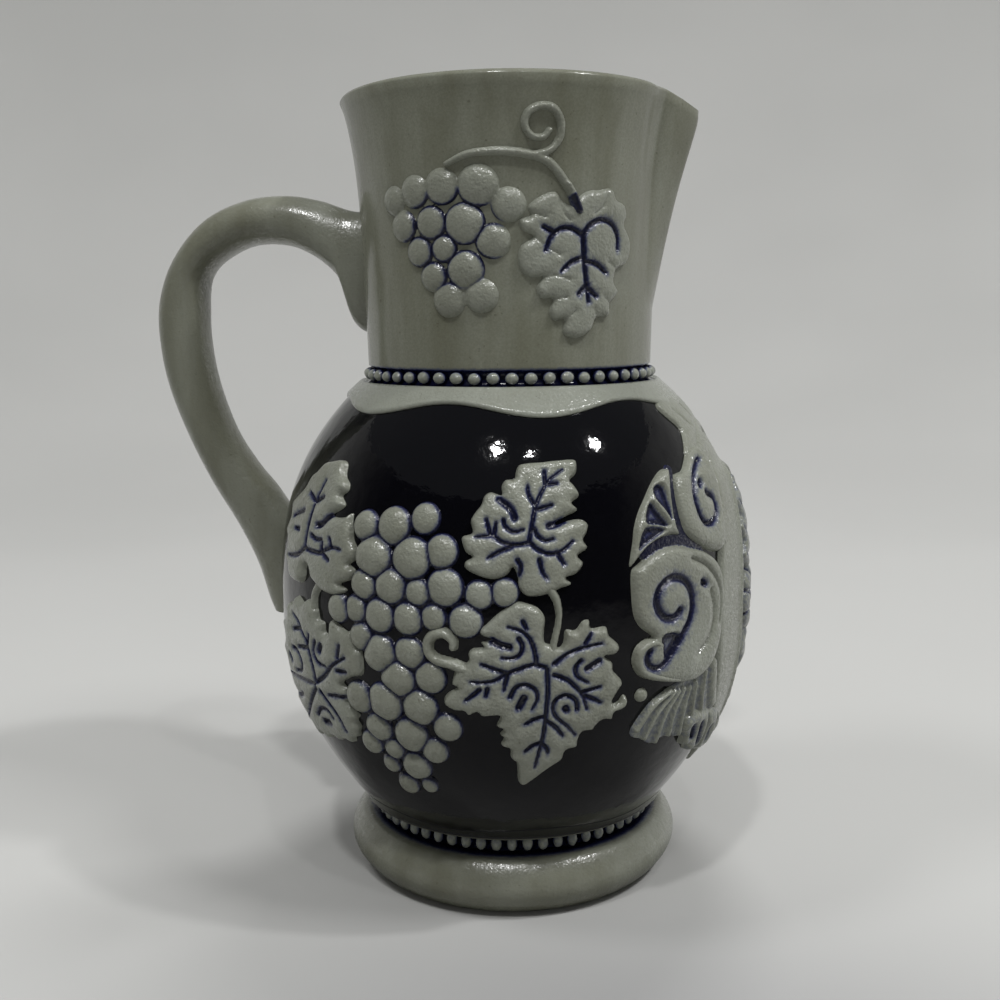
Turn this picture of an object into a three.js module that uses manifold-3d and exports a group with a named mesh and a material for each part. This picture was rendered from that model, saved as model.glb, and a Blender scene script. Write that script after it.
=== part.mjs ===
import * as THREE from 'three';
import { mergeVertices } from 'three/addons/utils/BufferGeometryUtils.js';
import Module from 'manifold-3d';

// A salt-glazed stoneware wine pitcher with applied vine reliefs. Millimetres, +Z up. The origin is
// the middle of the flat underside, the pulled spout points along +X and the handle along -X.

// Thrown wall: heights and radii of its outside
const pitcherHeight = 180;
const bowlBaseHeight = 16;
const bowlBaseRadius = 34.4;
const bellyHeight = 66;
const bellyRadius = 54.8;
const neckBaseHeight = 118;
const neckRadius = 33;
const bowlFullness = 2.2;
const shoulderFullness = 2.7;
const neckTaper = 1.5;
const lipFlare = 3.6;
const lipSharpness = 5;

// Thrown wall: thickness, floor and rim
const wallThickness = 4.2;
const rimThickness = 3.2;
const floorThickness = 7;
const floorRadius = 20;

// Pulled spout: the lip is pushed out in a beak between two creases, and its tip is drawn back a little
const spoutAboveNeckBase = 15;
const spoutRootHeight = neckBaseHeight + spoutAboveNeckBase;
const spoutReach = 7.6;
const spoutTipTuck = 2.2;
const spoutTuckSharpness = 8;
const spoutDip = 3;
const creaseAzimuth = THREE.MathUtils.degToRad(25);

// Foot: a moulded ring luted round the lower end of the thrown wall
const footHeight = 13;
const footStandRadius = 34.9;
const footBulge = 4.2;
const footTopRadius = 36.4;
const plugRadius = 30;

// Bead bands: each lies in a groove of the wall
const footBeadCount = 60;
const footBeadHeight = (footHeight + bowlBaseHeight) / 2;
const footBeadHalfHeight = 1.1;
const footBeadDepth = 1.1;
const footGrooveDepth = 2.9;
const neckBeadCount = 52;
const neckBeadHeight = neckBaseHeight + 0.5;
const neckBeadHalfHeight = 1.4;
const neckBeadDepth = 1.2;
const neckGrooveDepth = 1.2;
const beadThread = 0.4;

// Handle: pulled clay of oval section, wider at both terminals
const handleReach = 87;
const crownBelowLip = 19.7;
const headAboveNeckBase = 8;
const tailBelowBelly = 7;
const handleCrownHeight = pitcherHeight - crownBelowLip;
const handleHeadHeight = neckBaseHeight + headAboveNeckBase;
const handleTailHeight = bellyHeight - tailBelowBelly;
const handleHalfWidth = 7.3;
const handleTailHalfWidth = 6.2;
const headSeatDepth = 3;
const tailSeatDepth = 3.8;

// Applied clay: gap to the wall and heights off it
const seatGap = 0.3;
const joinTolerance = 0.04;
const backHollow = 0.08;
const longestBackFacet = 9;
const collarThickness = 0.8;
const collarWidth = 6.1;
const collarWave = 1.8;
const bandWidth = 5;
const bandWave = 1.2;
const waveCount = 6;
const wavePeak = THREE.MathUtils.degToRad(-40);
const leafEdgeHeight = 0.7;
const leafCrownHeight = 1.5;
const leafToothDepth = 0.55;
const grapeSkirt = 0.9;
const grapeHeightShare = 0.6;
const ribbonHeight = 1.2;
const plaqueBandHeight = 1.2;
const plaqueFieldHeight = 0.6;
const rosetteHeight = 1.7;

// Panels of the ornament: azimuth of the middle, height of the level from which a sprig is drawn up or
// down, and the heights that its upper and lower half run to. The drawn sizes are those of the wall for
// which the sprigs are drawn: they stretch with it when the wall's sizes change.
const bellyPanel = {
  level: bellyHeight,
  top: neckBaseHeight,
  bottom: bowlBaseHeight,
  drawnRadius: 54.8,
  drawnAbove: 58.6,
  drawnBelow: 55.4,
};
const sidePanel = { ...bellyPanel, azimuth: THREE.MathUtils.degToRad(105.5) };
const frontPanel = { ...bellyPanel, azimuth: 0 };
const neckPanel = {
  level: neckBaseHeight,
  top: pitcherHeight,
  bottom: bellyHeight,
  drawnRadius: 33,
  drawnAbove: 62.4,
  drawnBelow: 58.6,
  azimuth: THREE.MathUtils.degToRad(80),
};
const right = -1;
const left = 1;

// Clay, glaze and smalt colours
const greyGlaze = new THREE.MeshStandardMaterial({ color: 0x8f9287, roughness: 0.3, metalness: 0 });
const paleRelief = new THREE.MeshStandardMaterial({ color: 0x9da098, roughness: 0.32, metalness: 0 });
const cobaltGround = new THREE.MeshStandardMaterial({ color: 0x12131f, roughness: 0.12, metalness: 0 });
const cobaltWash = new THREE.MeshStandardMaterial({ color: 0x5c6274, roughness: 0.3, metalness: 0 });

const wasm = await Module();
wasm.setup();
const pitcher = new THREE.Group();

// Plain helpers

function steps(first, last, count) {
  return Array.from({ length: count + 1 }, (_, k) => first + ((last - first) * k) / count);
}

function addNode(name, geometry, material) {
  const mesh = new THREE.Mesh(geometry, material);
  mesh.name = name;
  pitcher.add(mesh);
}

function signedVolume(positions, triangles) {
  let volume = 0;
  for (let k = 0; k < triangles.length; k += 3) {
    const [a, b, c] = [triangles[k], triangles[k + 1], triangles[k + 2]].map((i) => positions[i]);
    volume += a.dot(new THREE.Vector3().crossVectors(b, c)) / 6;
  }
  return volume;
}

// A closed solid from its vertices and triangles, turned so that its faces point outwards.
function solid(positions, triangles) {
  const geometry = new THREE.BufferGeometry();
  const coordinates = positions.flatMap((p) => p.toArray());
  geometry.setAttribute('position', new THREE.Float32BufferAttribute(coordinates, 3));
  if (signedVolume(positions, triangles) < 0) {
    triangles.reverse();
  }
  geometry.setIndex(triangles);
  return geometry;
}

function bridge(triangles, ringSize, lower, upper) {
  for (let k = 0; k < ringSize; k += 1) {
    const next = (k + 1) % ringSize;
    triangles.push(lower + k, lower + next, upper + next, lower + k, upper + next, upper + k);
  }
}

// A solid lofted through rings of points, from a first pole to a last pole.
function loft(firstPole, rings, lastPole) {
  const ringSize = rings[0].length;
  const positions = [firstPole, ...rings.flat(), lastPole];
  const triangles = [];
  const lastRing = 1 + ringSize * (rings.length - 1);
  for (let k = 0; k < ringSize; k += 1) {
    const next = (k + 1) % ringSize;
    triangles.push(0, 1 + next, 1 + k);
    triangles.push(positions.length - 1, lastRing + k, lastRing + next);
  }
  for (let row = 0; row < rings.length - 1; row += 1) {
    bridge(triangles, ringSize, 1 + row * ringSize, 1 + (row + 1) * ringSize);
  }
  return solid(positions, triangles);
}

// A solid lofted through sections that run once round and close on the first.
function hoop(sections) {
  const size = sections[0].length;
  const triangles = [];
  sections.forEach((_, k) => bridge(triangles, size, k * size, ((k + 1) % sections.length) * size));
  return solid(sections.flat(), triangles);
}

function toManifold(geometry) {
  const bare = geometry.clone();
  bare.deleteAttribute('normal');
  bare.deleteAttribute('uv');
  const merged = mergeVertices(bare, 1e-5);
  return new wasm.Manifold(new wasm.Mesh({
    numProp: 3,
    vertProperties: new Float32Array(merged.attributes.position.array),
    triVerts: new Uint32Array(merged.index.array),
  }));
}

function toGeometry(body) {
  const mesh = body.getMesh();
  const geometry = new THREE.BufferGeometry();
  geometry.setAttribute('position', new THREE.BufferAttribute(mesh.vertProperties, 3));
  geometry.setIndex(new THREE.BufferAttribute(mesh.triVerts, 1));
  return geometry;
}

function joined(geometries) {
  const union = geometries.map(toManifold).reduce((sum, body) => sum.add(body));
  return toGeometry(union.simplify(joinTolerance));
}

// Outline of the thrown wall

function wallRadius(height) {
  if (height <= bellyHeight) {
    const share = (height - bowlBaseHeight) / (bellyHeight - bowlBaseHeight);
    return bowlBaseRadius + (bellyRadius - bowlBaseRadius) * (1 - (1 - share) ** bowlFullness);
  }
  if (height <= neckBaseHeight) {
    const share = (height - bellyHeight) / (neckBaseHeight - bellyHeight);
    return bellyRadius - (bellyRadius - neckRadius) * share ** shoulderFullness;
  }
  const share = (height - neckBaseHeight) / (pitcherHeight - neckBaseHeight);
  return neckRadius + neckTaper * share + lipFlare * share ** lipSharpness;
}

function wallSlope(height) {
  const step = 0.05;
  return (wallRadius(height) - wallRadius(height - step)) / step;
}

// Arc length up the outline from the widest line, at even heights.
const arcStep = 0.5;
const arcStepCount = Math.round((pitcherHeight - bowlBaseHeight) / arcStep);
const arcHeights = steps(bowlBaseHeight, pitcherHeight, arcStepCount);
const arcLengths = arcHeights.reduce((lengths, height, k) => {
  const before = arcHeights[Math.max(0, k - 1)];
  const climbed = Math.hypot(height - before, wallRadius(height) - wallRadius(before));
  return [...lengths, (lengths[k - 1] ?? 0) + climbed];
}, []);

function interpolate(value, from, to) {
  const found = from.findIndex((entry) => entry > value);
  const k = found < 0 ? from.length - 1 : Math.max(1, found);
  const share = (value - from[k - 1]) / (from[k] - from[k - 1]);
  return to[k - 1] + share * (to[k] - to[k - 1]);
}

const bellyLength = interpolate(bellyHeight, arcHeights, arcLengths);

function arcAtHeight(height) {
  return interpolate(height, arcHeights, arcLengths) - bellyLength;
}

function heightAtArc(arc) {
  return interpolate(arc + bellyLength, arcLengths, arcHeights);
}

// A point off the wall, at an azimuth from the spout and an arc above the widest line.
function wallPoint(azimuth, arc, lift) {
  const height = heightAtArc(arc);
  const slope = wallSlope(height);
  const length = Math.hypot(1, slope);
  const radius = wallRadius(height) + lift / length;
  const raised = height - (lift * slope) / length;
  return new THREE.Vector3(radius * Math.cos(azimuth), radius * Math.sin(azimuth), raised);
}

// A sprig is modelled flat, as (across, up, lift), and laid onto a panel on one side of the pitcher.
function laid(geometry, panel, side) {
  const flat = geometry.getAttribute('position');
  const level = arcAtHeight(panel.level);
  const stretchUp = (arcAtHeight(panel.top) - level) / panel.drawnAbove;
  const stretchDown = (level - arcAtHeight(panel.bottom)) / panel.drawnBelow;
  const places = Array.from({ length: flat.count }, (_, k) => {
    const azimuth = side * (panel.azimuth - flat.getX(k) / panel.drawnRadius);
    const up = flat.getY(k);
    return wallPoint(azimuth, level + up * (up > 0 ? stretchUp : stretchDown), seatGap + flat.getZ(k));
  });
  return solid(places, [...geometry.index.array]);
}

// Vessel: bowl, neck and lip thrown as one wall, with the spout pulled from the soft lip

const vesselAzimuths = [
  ...[-0.6, -0.25, 0, 0.25, 0.6].map((share) => share * creaseAzimuth),
  ...steps(creaseAzimuth, 2 * Math.PI - creaseAzimuth, 31),
];

function wallRing(radius, height) {
  return vesselAzimuths.map((azimuth) => {
    const rise = Math.max(0, (height - spoutRootHeight) / (pitcherHeight - spoutRootHeight));
    const beak = Math.max(0, 1 - Math.abs(azimuth) / creaseAzimuth);
    const pushed = radius + (spoutReach * rise - spoutTipTuck * rise ** spoutTuckSharpness) * beak;
    const dipped = height - spoutDip * rise ** 3 * beak;
    return new THREE.Vector3(pushed * Math.cos(azimuth), pushed * Math.sin(azimuth), dipped);
  });
}

const footGrooveRadius = bowlBaseRadius - footGrooveDepth;
const neckGrooveRadius = neckRadius - neckGrooveDepth;
const neckGrooveBottom = neckBeadHeight - neckBeadHalfHeight - seatGap;
const neckGrooveTop = neckBeadHeight + neckBeadHalfHeight + seatGap;
const lipHeight = pitcherHeight - 1.2;

// Rings of the outside from the foot up to the lip, a little off the wall where a gap is asked for.
function outerRings(gap) {
  const onWall = (height) => wallRing(wallRadius(height) + gap, height);
  return [
    wallRing(plugRadius + gap, 0),
    wallRing(plugRadius + gap, footHeight),
    wallRing(footGrooveRadius + gap, footHeight),
    wallRing(footGrooveRadius + gap, bowlBaseHeight),
    ...steps(bowlBaseHeight, bellyHeight, 6).map(onWall),
    ...steps(bellyHeight, neckGrooveBottom, 7).slice(1).map(onWall),
    wallRing(neckGrooveRadius + gap, neckGrooveBottom),
    wallRing(neckGrooveRadius + gap, neckGrooveTop),
    ...steps(neckGrooveTop, spoutRootHeight, 1).map(onWall),
    ...steps(spoutRootHeight, lipHeight, 4).slice(1).map(onWall),
  ];
}

function vesselGeometry() {
  const lipRadius = wallRadius(pitcherHeight);
  const inward = (height) => wallRadius(height) - wallThickness * Math.hypot(1, wallSlope(height));
  const inner = (height) => wallRing(inward(height), height);
  return loft(
    new THREE.Vector3(0, 0, 0),
    [
      ...outerRings(0),
      wallRing(lipRadius - 0.25 * rimThickness, pitcherHeight),
      wallRing(lipRadius - 0.75 * rimThickness, pitcherHeight),
      wallRing(lipRadius - rimThickness, lipHeight),
      ...steps(lipHeight, spoutRootHeight, 2).slice(1).map(inner),
      inner(neckGrooveTop),
      ...steps(neckGrooveBottom - wallThickness, bowlBaseHeight + wallThickness, 5).map(inner),
      wallRing(floorRadius + wallThickness, floorThickness + 0.7 * wallThickness),
      wallRing(floorRadius, floorThickness),
    ],
    new THREE.Vector3(0, 0, floorThickness),
  );
}

addNode('vessel', vesselGeometry(), cobaltGround);

// Foot: a moulded ring with a full, rounded outside

function circle(radius, height, count = 36) {
  return steps(0, 2 * Math.PI, count).slice(1)
    .map((azimuth) => new THREE.Vector3(radius * Math.cos(azimuth), radius * Math.sin(azimuth), height));
}

function footGeometry() {
  const outside = steps(0, 1, 5).map((share) => {
    const straight = THREE.MathUtils.lerp(footStandRadius, footTopRadius, share);
    return circle(straight + footBulge * Math.sin(Math.PI * share) ** 0.8, footHeight * share);
  });
  const bore = plugRadius + seatGap;
  const rings = [circle(bore, 0), ...outside, circle(bore, footHeight)];
  return hoop(rings[0].map((_, k) => rings.map((ring) => ring[k])));
}

addNode('foot', footGeometry(), greyGlaze);

// Bead bands: barrel-shaped beads on a thin thread, each band lying in its groove

function beadBand(count, radius, height, depth, halfHeight) {
  const sections = [];
  for (let bead = 0; bead < count; bead += 1) {
    for (const [place, across, up] of [[0, beadThread, beadThread], [0.5, depth, halfHeight]]) {
      const azimuth = (2 * Math.PI * (bead + place)) / count;
      sections.push([[across, 0], [0, up], [-across, 0], [0, -up]].map(([out, rise]) => new THREE.Vector3(
        (radius + out) * Math.cos(azimuth),
        (radius + out) * Math.sin(azimuth),
        height + rise,
      )));
    }
  }
  return hoop(sections);
}

addNode(
  'foot_beads',
  beadBand(
    footBeadCount,
    footGrooveRadius + seatGap + footBeadDepth,
    footBeadHeight,
    footBeadDepth,
    footBeadHalfHeight,
  ),
  cobaltWash,
);
addNode(
  'neck_beads',
  beadBand(
    neckBeadCount,
    neckGrooveRadius + seatGap + neckBeadDepth,
    neckBeadHeight,
    neckBeadDepth,
    neckBeadHalfHeight,
  ),
  cobaltWash,
);

// Shoulder collar and base band: thin skirts of clay whose free edges run in waves

function skirt(fixedArc, width, waveHeight) {
  return hoop(steps(0, 2 * Math.PI, 36).slice(1).map((azimuth) => {
    const edgeArc = fixedArc - width + waveHeight * Math.cos(waveCount * (azimuth - wavePeak));
    return [
      wallPoint(azimuth, fixedArc, seatGap),
      wallPoint(azimuth, edgeArc, seatGap),
      wallPoint(azimuth, edgeArc, seatGap + 0.6 * collarThickness),
      wallPoint(azimuth, fixedArc, seatGap + collarThickness),
    ];
  }));
}

const collarTop = arcAtHeight(neckGrooveBottom) - seatGap;
const bandBottom = arcAtHeight(bowlBaseHeight) + seatGap;
addNode('shoulder_collar', skirt(collarTop, collarWidth, collarWave), greyGlaze);
addNode('base_band', skirt(bandBottom, -bandWidth, -bandWave), greyGlaze);

// Handle: sections lofted between its outer and inner edges, then cut to the wall it is luted to

// Each edge point gives its share of the way out from the seat on the wall to the handle's reach, and its
// share of the way up: above the head's lower end to the crown, and below it from the tail. The head sits
// on the neck, the tail on the belly.
const headSections = [
  { outer: [0, 0.875], inner: [0, 0] },
  { outer: [0.128, 0.883], inner: [0.123, 0.111] },
  { outer: [0.27, 0.959], inner: [0.182, 0.42] },
  { outer: [0.421, 1], inner: [0.349, 0.627] },
  { outer: [0.602, 0.965], inner: [0.533, 0.668] },
  { outer: [0.779, 0.831], inner: [0.681, 0.583] },
  { outer: [0.921, 0.569], inner: [0.774, 0.44] },
  { outer: [0.997, 0.262], inner: [0.791, 0.19] },
];
const tailSections = [
  { outer: [0.997, 0.97], inner: [0.664, 0.978] },
  { outer: [0.933, 0.813], inner: [0.617, 0.836] },
  { outer: [0.806, 0.636], inner: [0.508, 0.672] },
  { outer: [0.658, 0.475], inner: [0.364, 0.549] },
  { outer: [0.492, 0.325], inner: [0.2, 0.442] },
  { outer: [0.361, 0.181], inner: [0.053, 0.299] },
  { outer: [0.286, 0.05], inner: [0, 0.104] },
  { outer: [0.25, 0], inner: [0, 0] },
];

function handleEdge(edge) {
  const placed = (sections, seatRadius, bottom, top) => sections.map((section) => new THREE.Vector3(
    -THREE.MathUtils.lerp(seatRadius, handleReach, section[edge][0]),
    0,
    THREE.MathUtils.lerp(bottom, top, section[edge][1]),
  ));
  return new THREE.CatmullRomCurve3([
    ...placed(headSections, neckRadius - headSeatDepth, handleHeadHeight, handleCrownHeight),
    ...placed(tailSections, bellyRadius - tailSeatDepth, handleTailHeight, handleHeadHeight),
  ]);
}

function handleGeometry() {
  const [outer, inner] = [handleEdge('outer'), handleEdge('inner')];
  const sideways = new THREE.Vector3(0, 1, 0);
  const rings = steps(0, 1, 24).map((share) => {
    const [top, bottom] = [outer.getPoint(share), inner.getPoint(share)];
    const centre = top.clone().add(bottom).multiplyScalar(0.5);
    const half = top.clone().sub(centre);
    const tail = Math.abs(2 * share - 1) ** 4;
    const width = THREE.MathUtils.lerp(handleHalfWidth, handleTailHalfWidth, tail);
    return steps(0, 2 * Math.PI, 10).slice(1).map((turn) => centre.clone()
      .addScaledVector(half, Math.cos(turn))
      .addScaledVector(sideways, width * Math.sin(turn)));
  });
  const middle = (ring) => ring.reduce((sum, p) => sum.add(p), new THREE.Vector3())
    .divideScalar(ring.length);
  const pulled = loft(middle(rings[0]), rings, middle(rings.at(-1)));
  const [bottom, top] = [new THREE.Vector3(0, 0, 0), new THREE.Vector3(0, 0, lipHeight)];
  const filledWall = loft(bottom, outerRings(seatGap), top);
  return toGeometry(toManifold(pulled).subtract(toManifold(filledWall)));
}

addNode('handle', handleGeometry(), greyGlaze);

// Sprigs: small moulded reliefs, each a little hollow at its back

const flat = (across, up, lift) => new THREE.Vector3(across, up, lift);

// A grape: a five-sided dome with a low skirt of clay that runs into its neighbours'.
function grape([across, up, radius]) {
  const ring = (reach, lift) => steps(0, 2 * Math.PI, 5).slice(1)
    .map((turn) => flat(across + reach * Math.cos(turn), up + reach * Math.sin(turn), lift));
  const height = radius * grapeHeightShare;
  return loft(
    flat(across, up, 0),
    [ring(radius + grapeSkirt, 0), ring(0.78 * radius, 0.75 * height)],
    flat(across, up, height),
  );
}

function bunch(grapes) {
  return joined(grapes.map(grape));
}

// A domed plate with the given outline, thickest at its middle, with teeth round its edge if asked for.
function plate({ middle, outline, teeth = 0, samples = 22 }) {
  const closed = new THREE.CatmullRomCurve3(outline.map(([across, up]) => flat(across, up, 0)), true);
  const rim = closed.getPoints(samples).slice(1).map((p, k) => {
    const fromMiddle = new THREE.Vector2(p.x - middle[0], p.y - middle[1]);
    return fromMiddle.setLength(fromMiddle.length() + ((k % 2 ? 1 : -1) * teeth) / 2);
  });
  const ring = (share, lift) => rim.map((p) => flat(middle[0] + share * p.x, middle[1] + share * p.y, lift));
  const reach = Math.max(...rim.map((p) => p.length()));
  const back = steps(0, 1, Math.ceil(reach / longestBackFacet)).slice(1)
    .map((share) => ring(share, backHollow * (1 - share)));
  const front = [ring(1, leafEdgeHeight), ring(0.55, leafCrownHeight)];
  return loft(flat(...middle, backHollow), [...back, ...front], flat(...middle, leafCrownHeight));
}

function leaf(middle, outline) {
  return plate({ middle, outline, teeth: leafToothDepth });
}

// A band of clay along a path, tapering from its first to its last half width.
function ribbon(path, [firstHalf, lastHalf], samples = 10) {
  const curve = new THREE.CatmullRomCurve3(path.map(([across, up]) => flat(across, up, 0)));
  const sections = steps(0, 1, samples).map((share) => {
    const spot = curve.getPoint(share);
    const along = curve.getTangent(share);
    const half = THREE.MathUtils.lerp(firstHalf, lastHalf, share);
    const offset = (width, lift) => flat(spot.x - width * along.y, spot.y + width * along.x, lift);
    const [foot, crown] = [half, 0.6 * half];
    return [offset(-foot, 0), offset(foot, 0), offset(crown, ribbonHeight), offset(-crown, ribbonHeight)];
  });
  const cap = (section) => section[0].clone().add(section[2]).multiplyScalar(0.5);
  return loft(cap(sections[0]), sections, cap(sections.at(-1)));
}

// A spiral path round a centre, from its outer to its inner radius; a negative turn runs clockwise.
function spiral([across, up], outerRadius, innerRadius, startDegrees, turnDegrees) {
  return steps(0, 1, 12).map((share) => {
    const radius = THREE.MathUtils.lerp(outerRadius, innerRadius, share);
    const angle = THREE.MathUtils.degToRad(startDegrees + turnDegrees * share);
    return [across + radius * Math.cos(angle), up + radius * Math.sin(angle)];
  });
}

// Side vine on the belly: across the panel towards the spout, up the wall, radius

const sideGrapes = [
  [-8.9, 23.6, 2.8], [-1.5, 23.9, 3.5], [5.3, 25.8, 2.9],
  [-5.8, 17.8, 4], [2.9, 18.3, 4], [9.6, 19.6, 3],
  [-8.2, 11.6, 2.8], [-1.4, 12, 3.4], [4.8, 11.6, 2.6], [10.5, 12.8, 3.5], [17.4, 11.6, 2.6],
  [22.4, 12, 2.4], [-14.6, 6.1, 2.4], [-10.2, 6.3, 2.7], [-4.1, 5.9, 3.2], [2.6, 5.9, 3.2],
  [8.2, 6.6, 2.5], [14.2, 6.3, 2.9],
  [-4.1, -2, 3.6], [2.9, -1.4, 3.2],
  [-0.1, -6.9, 3.4], [6.9, -6, 3.2],
  [-9.8, -12.8, 3], [-3.2, -12.5, 3.8], [4.6, -12.5, 3.7],
  [-6.5, -18.7, 2.9], [1.3, -19.1, 3.5], [10, -16.5, 2.6],
  [-9.3, -23.6, 2.6], [-3.7, -23.9, 2.3], [6.6, -22.8, 2.6],
  [-5.9, -28.4, 2], [1.3, -27.2, 3.4],
  [-2.6, -33.4, 2.7], [3.1, -32.4, 2.2],
];

const upperFrontLeaf = [
  [14, 22], [16.5, 26.5], [17, 31], [23.5, 33], [26, 37.5], [32.5, 38.5], [39, 38], [38.5, 30], [36.5, 27],
  [40.5, 24], [37.5, 20], [38.5, 17], [35.5, 13.5], [29, 14], [24.5, 16.8], [18, 18],
];

const lowerFrontLeaf = [
  [15, -1.5], [19.5, 1], [19, 5.5], [23.5, 8], [29.5, 7.5], [31.5, 2.5], [37.5, 5.5], [43, 4], [45, 0],
  [43.5, -3.5], [47, -8.5], [41.5, -15], [35.5, -17.5], [33.5, -23], [27, -30], [25, -24], [22.5, -19],
  [20.5, -12], [15, -12], [11.5, -11], [14, -6.5],
];

const upperBackLeaf = [
  [-22, 36.5], [-17, 30.5], [-19, 27], [-13, 24], [-14, 18.5], [-13.2, 14], [-18.5, 11.5], [-22.5, 15],
  [-29.5, 14], [-37.5, 18], [-39, 24], [-34, 30], [-28, 35],
];

const lowerBackLeaf = [
  [-17.5, 3], [-12, 0.5], [-9.6, -5], [-13, -8], [-14.5, -12], [-13.6, -18], [-18.5, -24.5], [-25.5, -23],
  [-30.5, -20.5], [-35.5, -17], [-36.5, -11], [-37.5, -5], [-33.5, -1], [-27.5, 2.5],
];

// Neck vine: across the panel towards the spout, up from the neck's root, radius

const neckGrapes = [
  [-25.9, 37.8, 2.5], [-20.1, 39.2, 2.9], [-13.7, 39.9, 3.2], [-6.2, 39.9, 3.7], [-0.2, 36, 3],
  [-23.4, 32.4, 2.8], [-16.4, 32.8, 3], [-9.1, 32.4, 3.8], [-3.4, 28.8, 3.1],
  [-19.4, 27, 2.7], [-13.6, 27.5, 2.4], [-9.1, 23.1, 3.5],
  [-16.2, 21.8, 2.6], [-12.8, 17, 3.1], [-5.9, 17.8, 3],
];

const neckLeaf = [
  [4.6, 36.2], [9.3, 38.5], [12, 35], [14.4, 31.8], [16.8, 35.3], [20.6, 39.5], [27, 35.3], [27.7, 25.3],
  [24.1, 18.1], [20, 12.3], [14.1, 8.5], [8.4, 16.7], [2.6, 23.1], [2.2, 28.1], [4.4, 32.4],
];

function neckVine() {
  const stem = [[-12.3, 44.6], [-8, 46.1], [-2.3, 46.4], [6.3, 45.3], [9.9, 41.7], [13.4, 36.6]];
  const curl = [[5.5, 45.4], [8.8, 47.3], ...spiral([6.4, 51.7], 3.1, 2.4, -35, 330)];
  return joined([ribbon(stem, [0.55, 0.7], 10), ribbon(curl, [0.6, 0.45], 12)]);
}

// Front medallion: an oval band round a field with a flower and two leaf sprays, a crest above it, a
// pendant below it, and scrollwork and shells at both sides

const plaqueHalfWidth = 23;
const plaqueHalfHeight = 40.5;
const plaqueBandWidth = 9.5;
const plaqueBevel = 0.8;
const flowerRadius = 8.5;
const flowerPetals = 8;
const petalDepth = 0.1;

// An oval ring on the front panel, scalloped into petals if asked for.
function oval(halfWidth, halfHeight, lift, depth = 0) {
  return steps(0, 2 * Math.PI, 4 * flowerPetals).slice(1).map((turn) => {
    const reach = 1 + depth * Math.cos(flowerPetals * turn);
    return flat(halfWidth * reach * Math.cos(turn), halfHeight * reach * Math.sin(turn), lift);
  });
}

function plaqueGeometry() {
  const inset = (width, lift) => oval(plaqueHalfWidth - width, plaqueHalfHeight - width, lift);
  const scaled = (share, lift) => oval(share * plaqueHalfWidth, share * plaqueHalfHeight, lift);
  const back = steps(0, 1, Math.ceil(plaqueHalfHeight / longestBackFacet)).slice(1)
    .map((share) => scaled(share, backHollow * (1 - share)));
  const front = [
    inset(plaqueBevel, plaqueBandHeight),
    inset(plaqueBandWidth, plaqueBandHeight),
    inset(plaqueBandWidth + plaqueBevel, plaqueFieldHeight),
    scaled(0.3, plaqueFieldHeight),
  ];
  return loft(flat(0, 0, backHollow), [...back, ...front], flat(0, 0, plaqueFieldHeight));
}

const sprayOutline = [
  [0, 6], [4, 8.5], [7.5, 11], [5.2, 14], [7.6, 17.5], [4.8, 19.5], [5.4, 23.5], [2.6, 25.5], [0, 29.5],
  [-2.6, 25.5], [-5.4, 23.5], [-4.8, 19.5], [-7.6, 17.5], [-5.2, 14], [-7.5, 11], [-4, 8.5],
];

// The flower with a leaf spray above and below it, on the plaque's field.
function rosetteGeometry() {
  const round = (share, lift, depth) => oval(share * flowerRadius, share * flowerRadius, lift, depth);
  const flower = loft(
    flat(0, 0, 2 * backHollow),
    [round(0.5, backHollow), round(1, 0, petalDepth), round(0.8, rosetteHeight, petalDepth)],
    flat(0, 0, 0.5 * rosetteHeight),
  );
  const sprays = [1, -1].map((way) => plate({
    middle: [0, 17 * way],
    outline: sprayOutline.map(([across, up]) => [across, up * way]),
    samples: 24,
  }));
  return joined([flower, ...sprays]).translate(0, 0, plaqueFieldHeight + seatGap);
}

const crestOutline = [
  [-23, 36], [-20, 40], [-12, 44.8], [0, 46.6], [12, 44.8], [20, 40], [23, 36], [17, 33.6], [12, 36],
  [6, 39.9], [0, 41.4], [-6, 39.9], [-12, 36], [-17, 33.6],
];
const pendantOutline = [
  [0, -41.6], [7, -39.8], [12, -37], [17, -34.6], [19, -35.5], [17.5, -39], [12, -43], [6, -46], [0, -47.2],
  [-6, -46], [-12, -43], [-17.5, -39], [-19, -35.5], [-17, -34.6], [-12, -37], [-7, -39.8],
];

function polar(hub, degrees, radius) {
  const angle = THREE.MathUtils.degToRad(degrees);
  return [hub[0] + radius * Math.cos(angle), hub[1] + radius * Math.sin(angle)];
}

// Ribs between two arcs of a fan, with an open window between each two ribs.
function lattice() {
  const [hub, inner, outer] = [[-38, 20.5], 3.5, 13];
  const ribs = steps(95, 177, 3)
    .map((degrees) => ribbon([polar(hub, degrees, inner), polar(hub, degrees, outer)], [0.8, 1], 1));
  const arcs = [inner, outer].map((radius) => {
    const path = steps(92, 180, 4).map((degrees) => polar(hub, degrees, radius));
    return ribbon(path, [1, 1], 4);
  });
  return joined([...arcs, ...ribs]);
}

// Ribs of a shell, spread from one hub.
function shell() {
  const hub = [-33.3, -7.5];
  return joined(steps(205, 285, 4).map((degrees) => ribbon(
    [polar(hub, degrees, 2.5), polar(hub, degrees, 15)],
    [1.1, 2.2],
    1,
  )));
}

const frontReliefs = {
  medallion_plaque: plaqueGeometry(),
  medallion_rosette: rosetteGeometry(),
  medallion_crest: plate({ middle: [0, 44.4], outline: crestOutline }),
  medallion_pendant: plate({ middle: [0, -44.6], outline: pendantOutline }),
};

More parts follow.
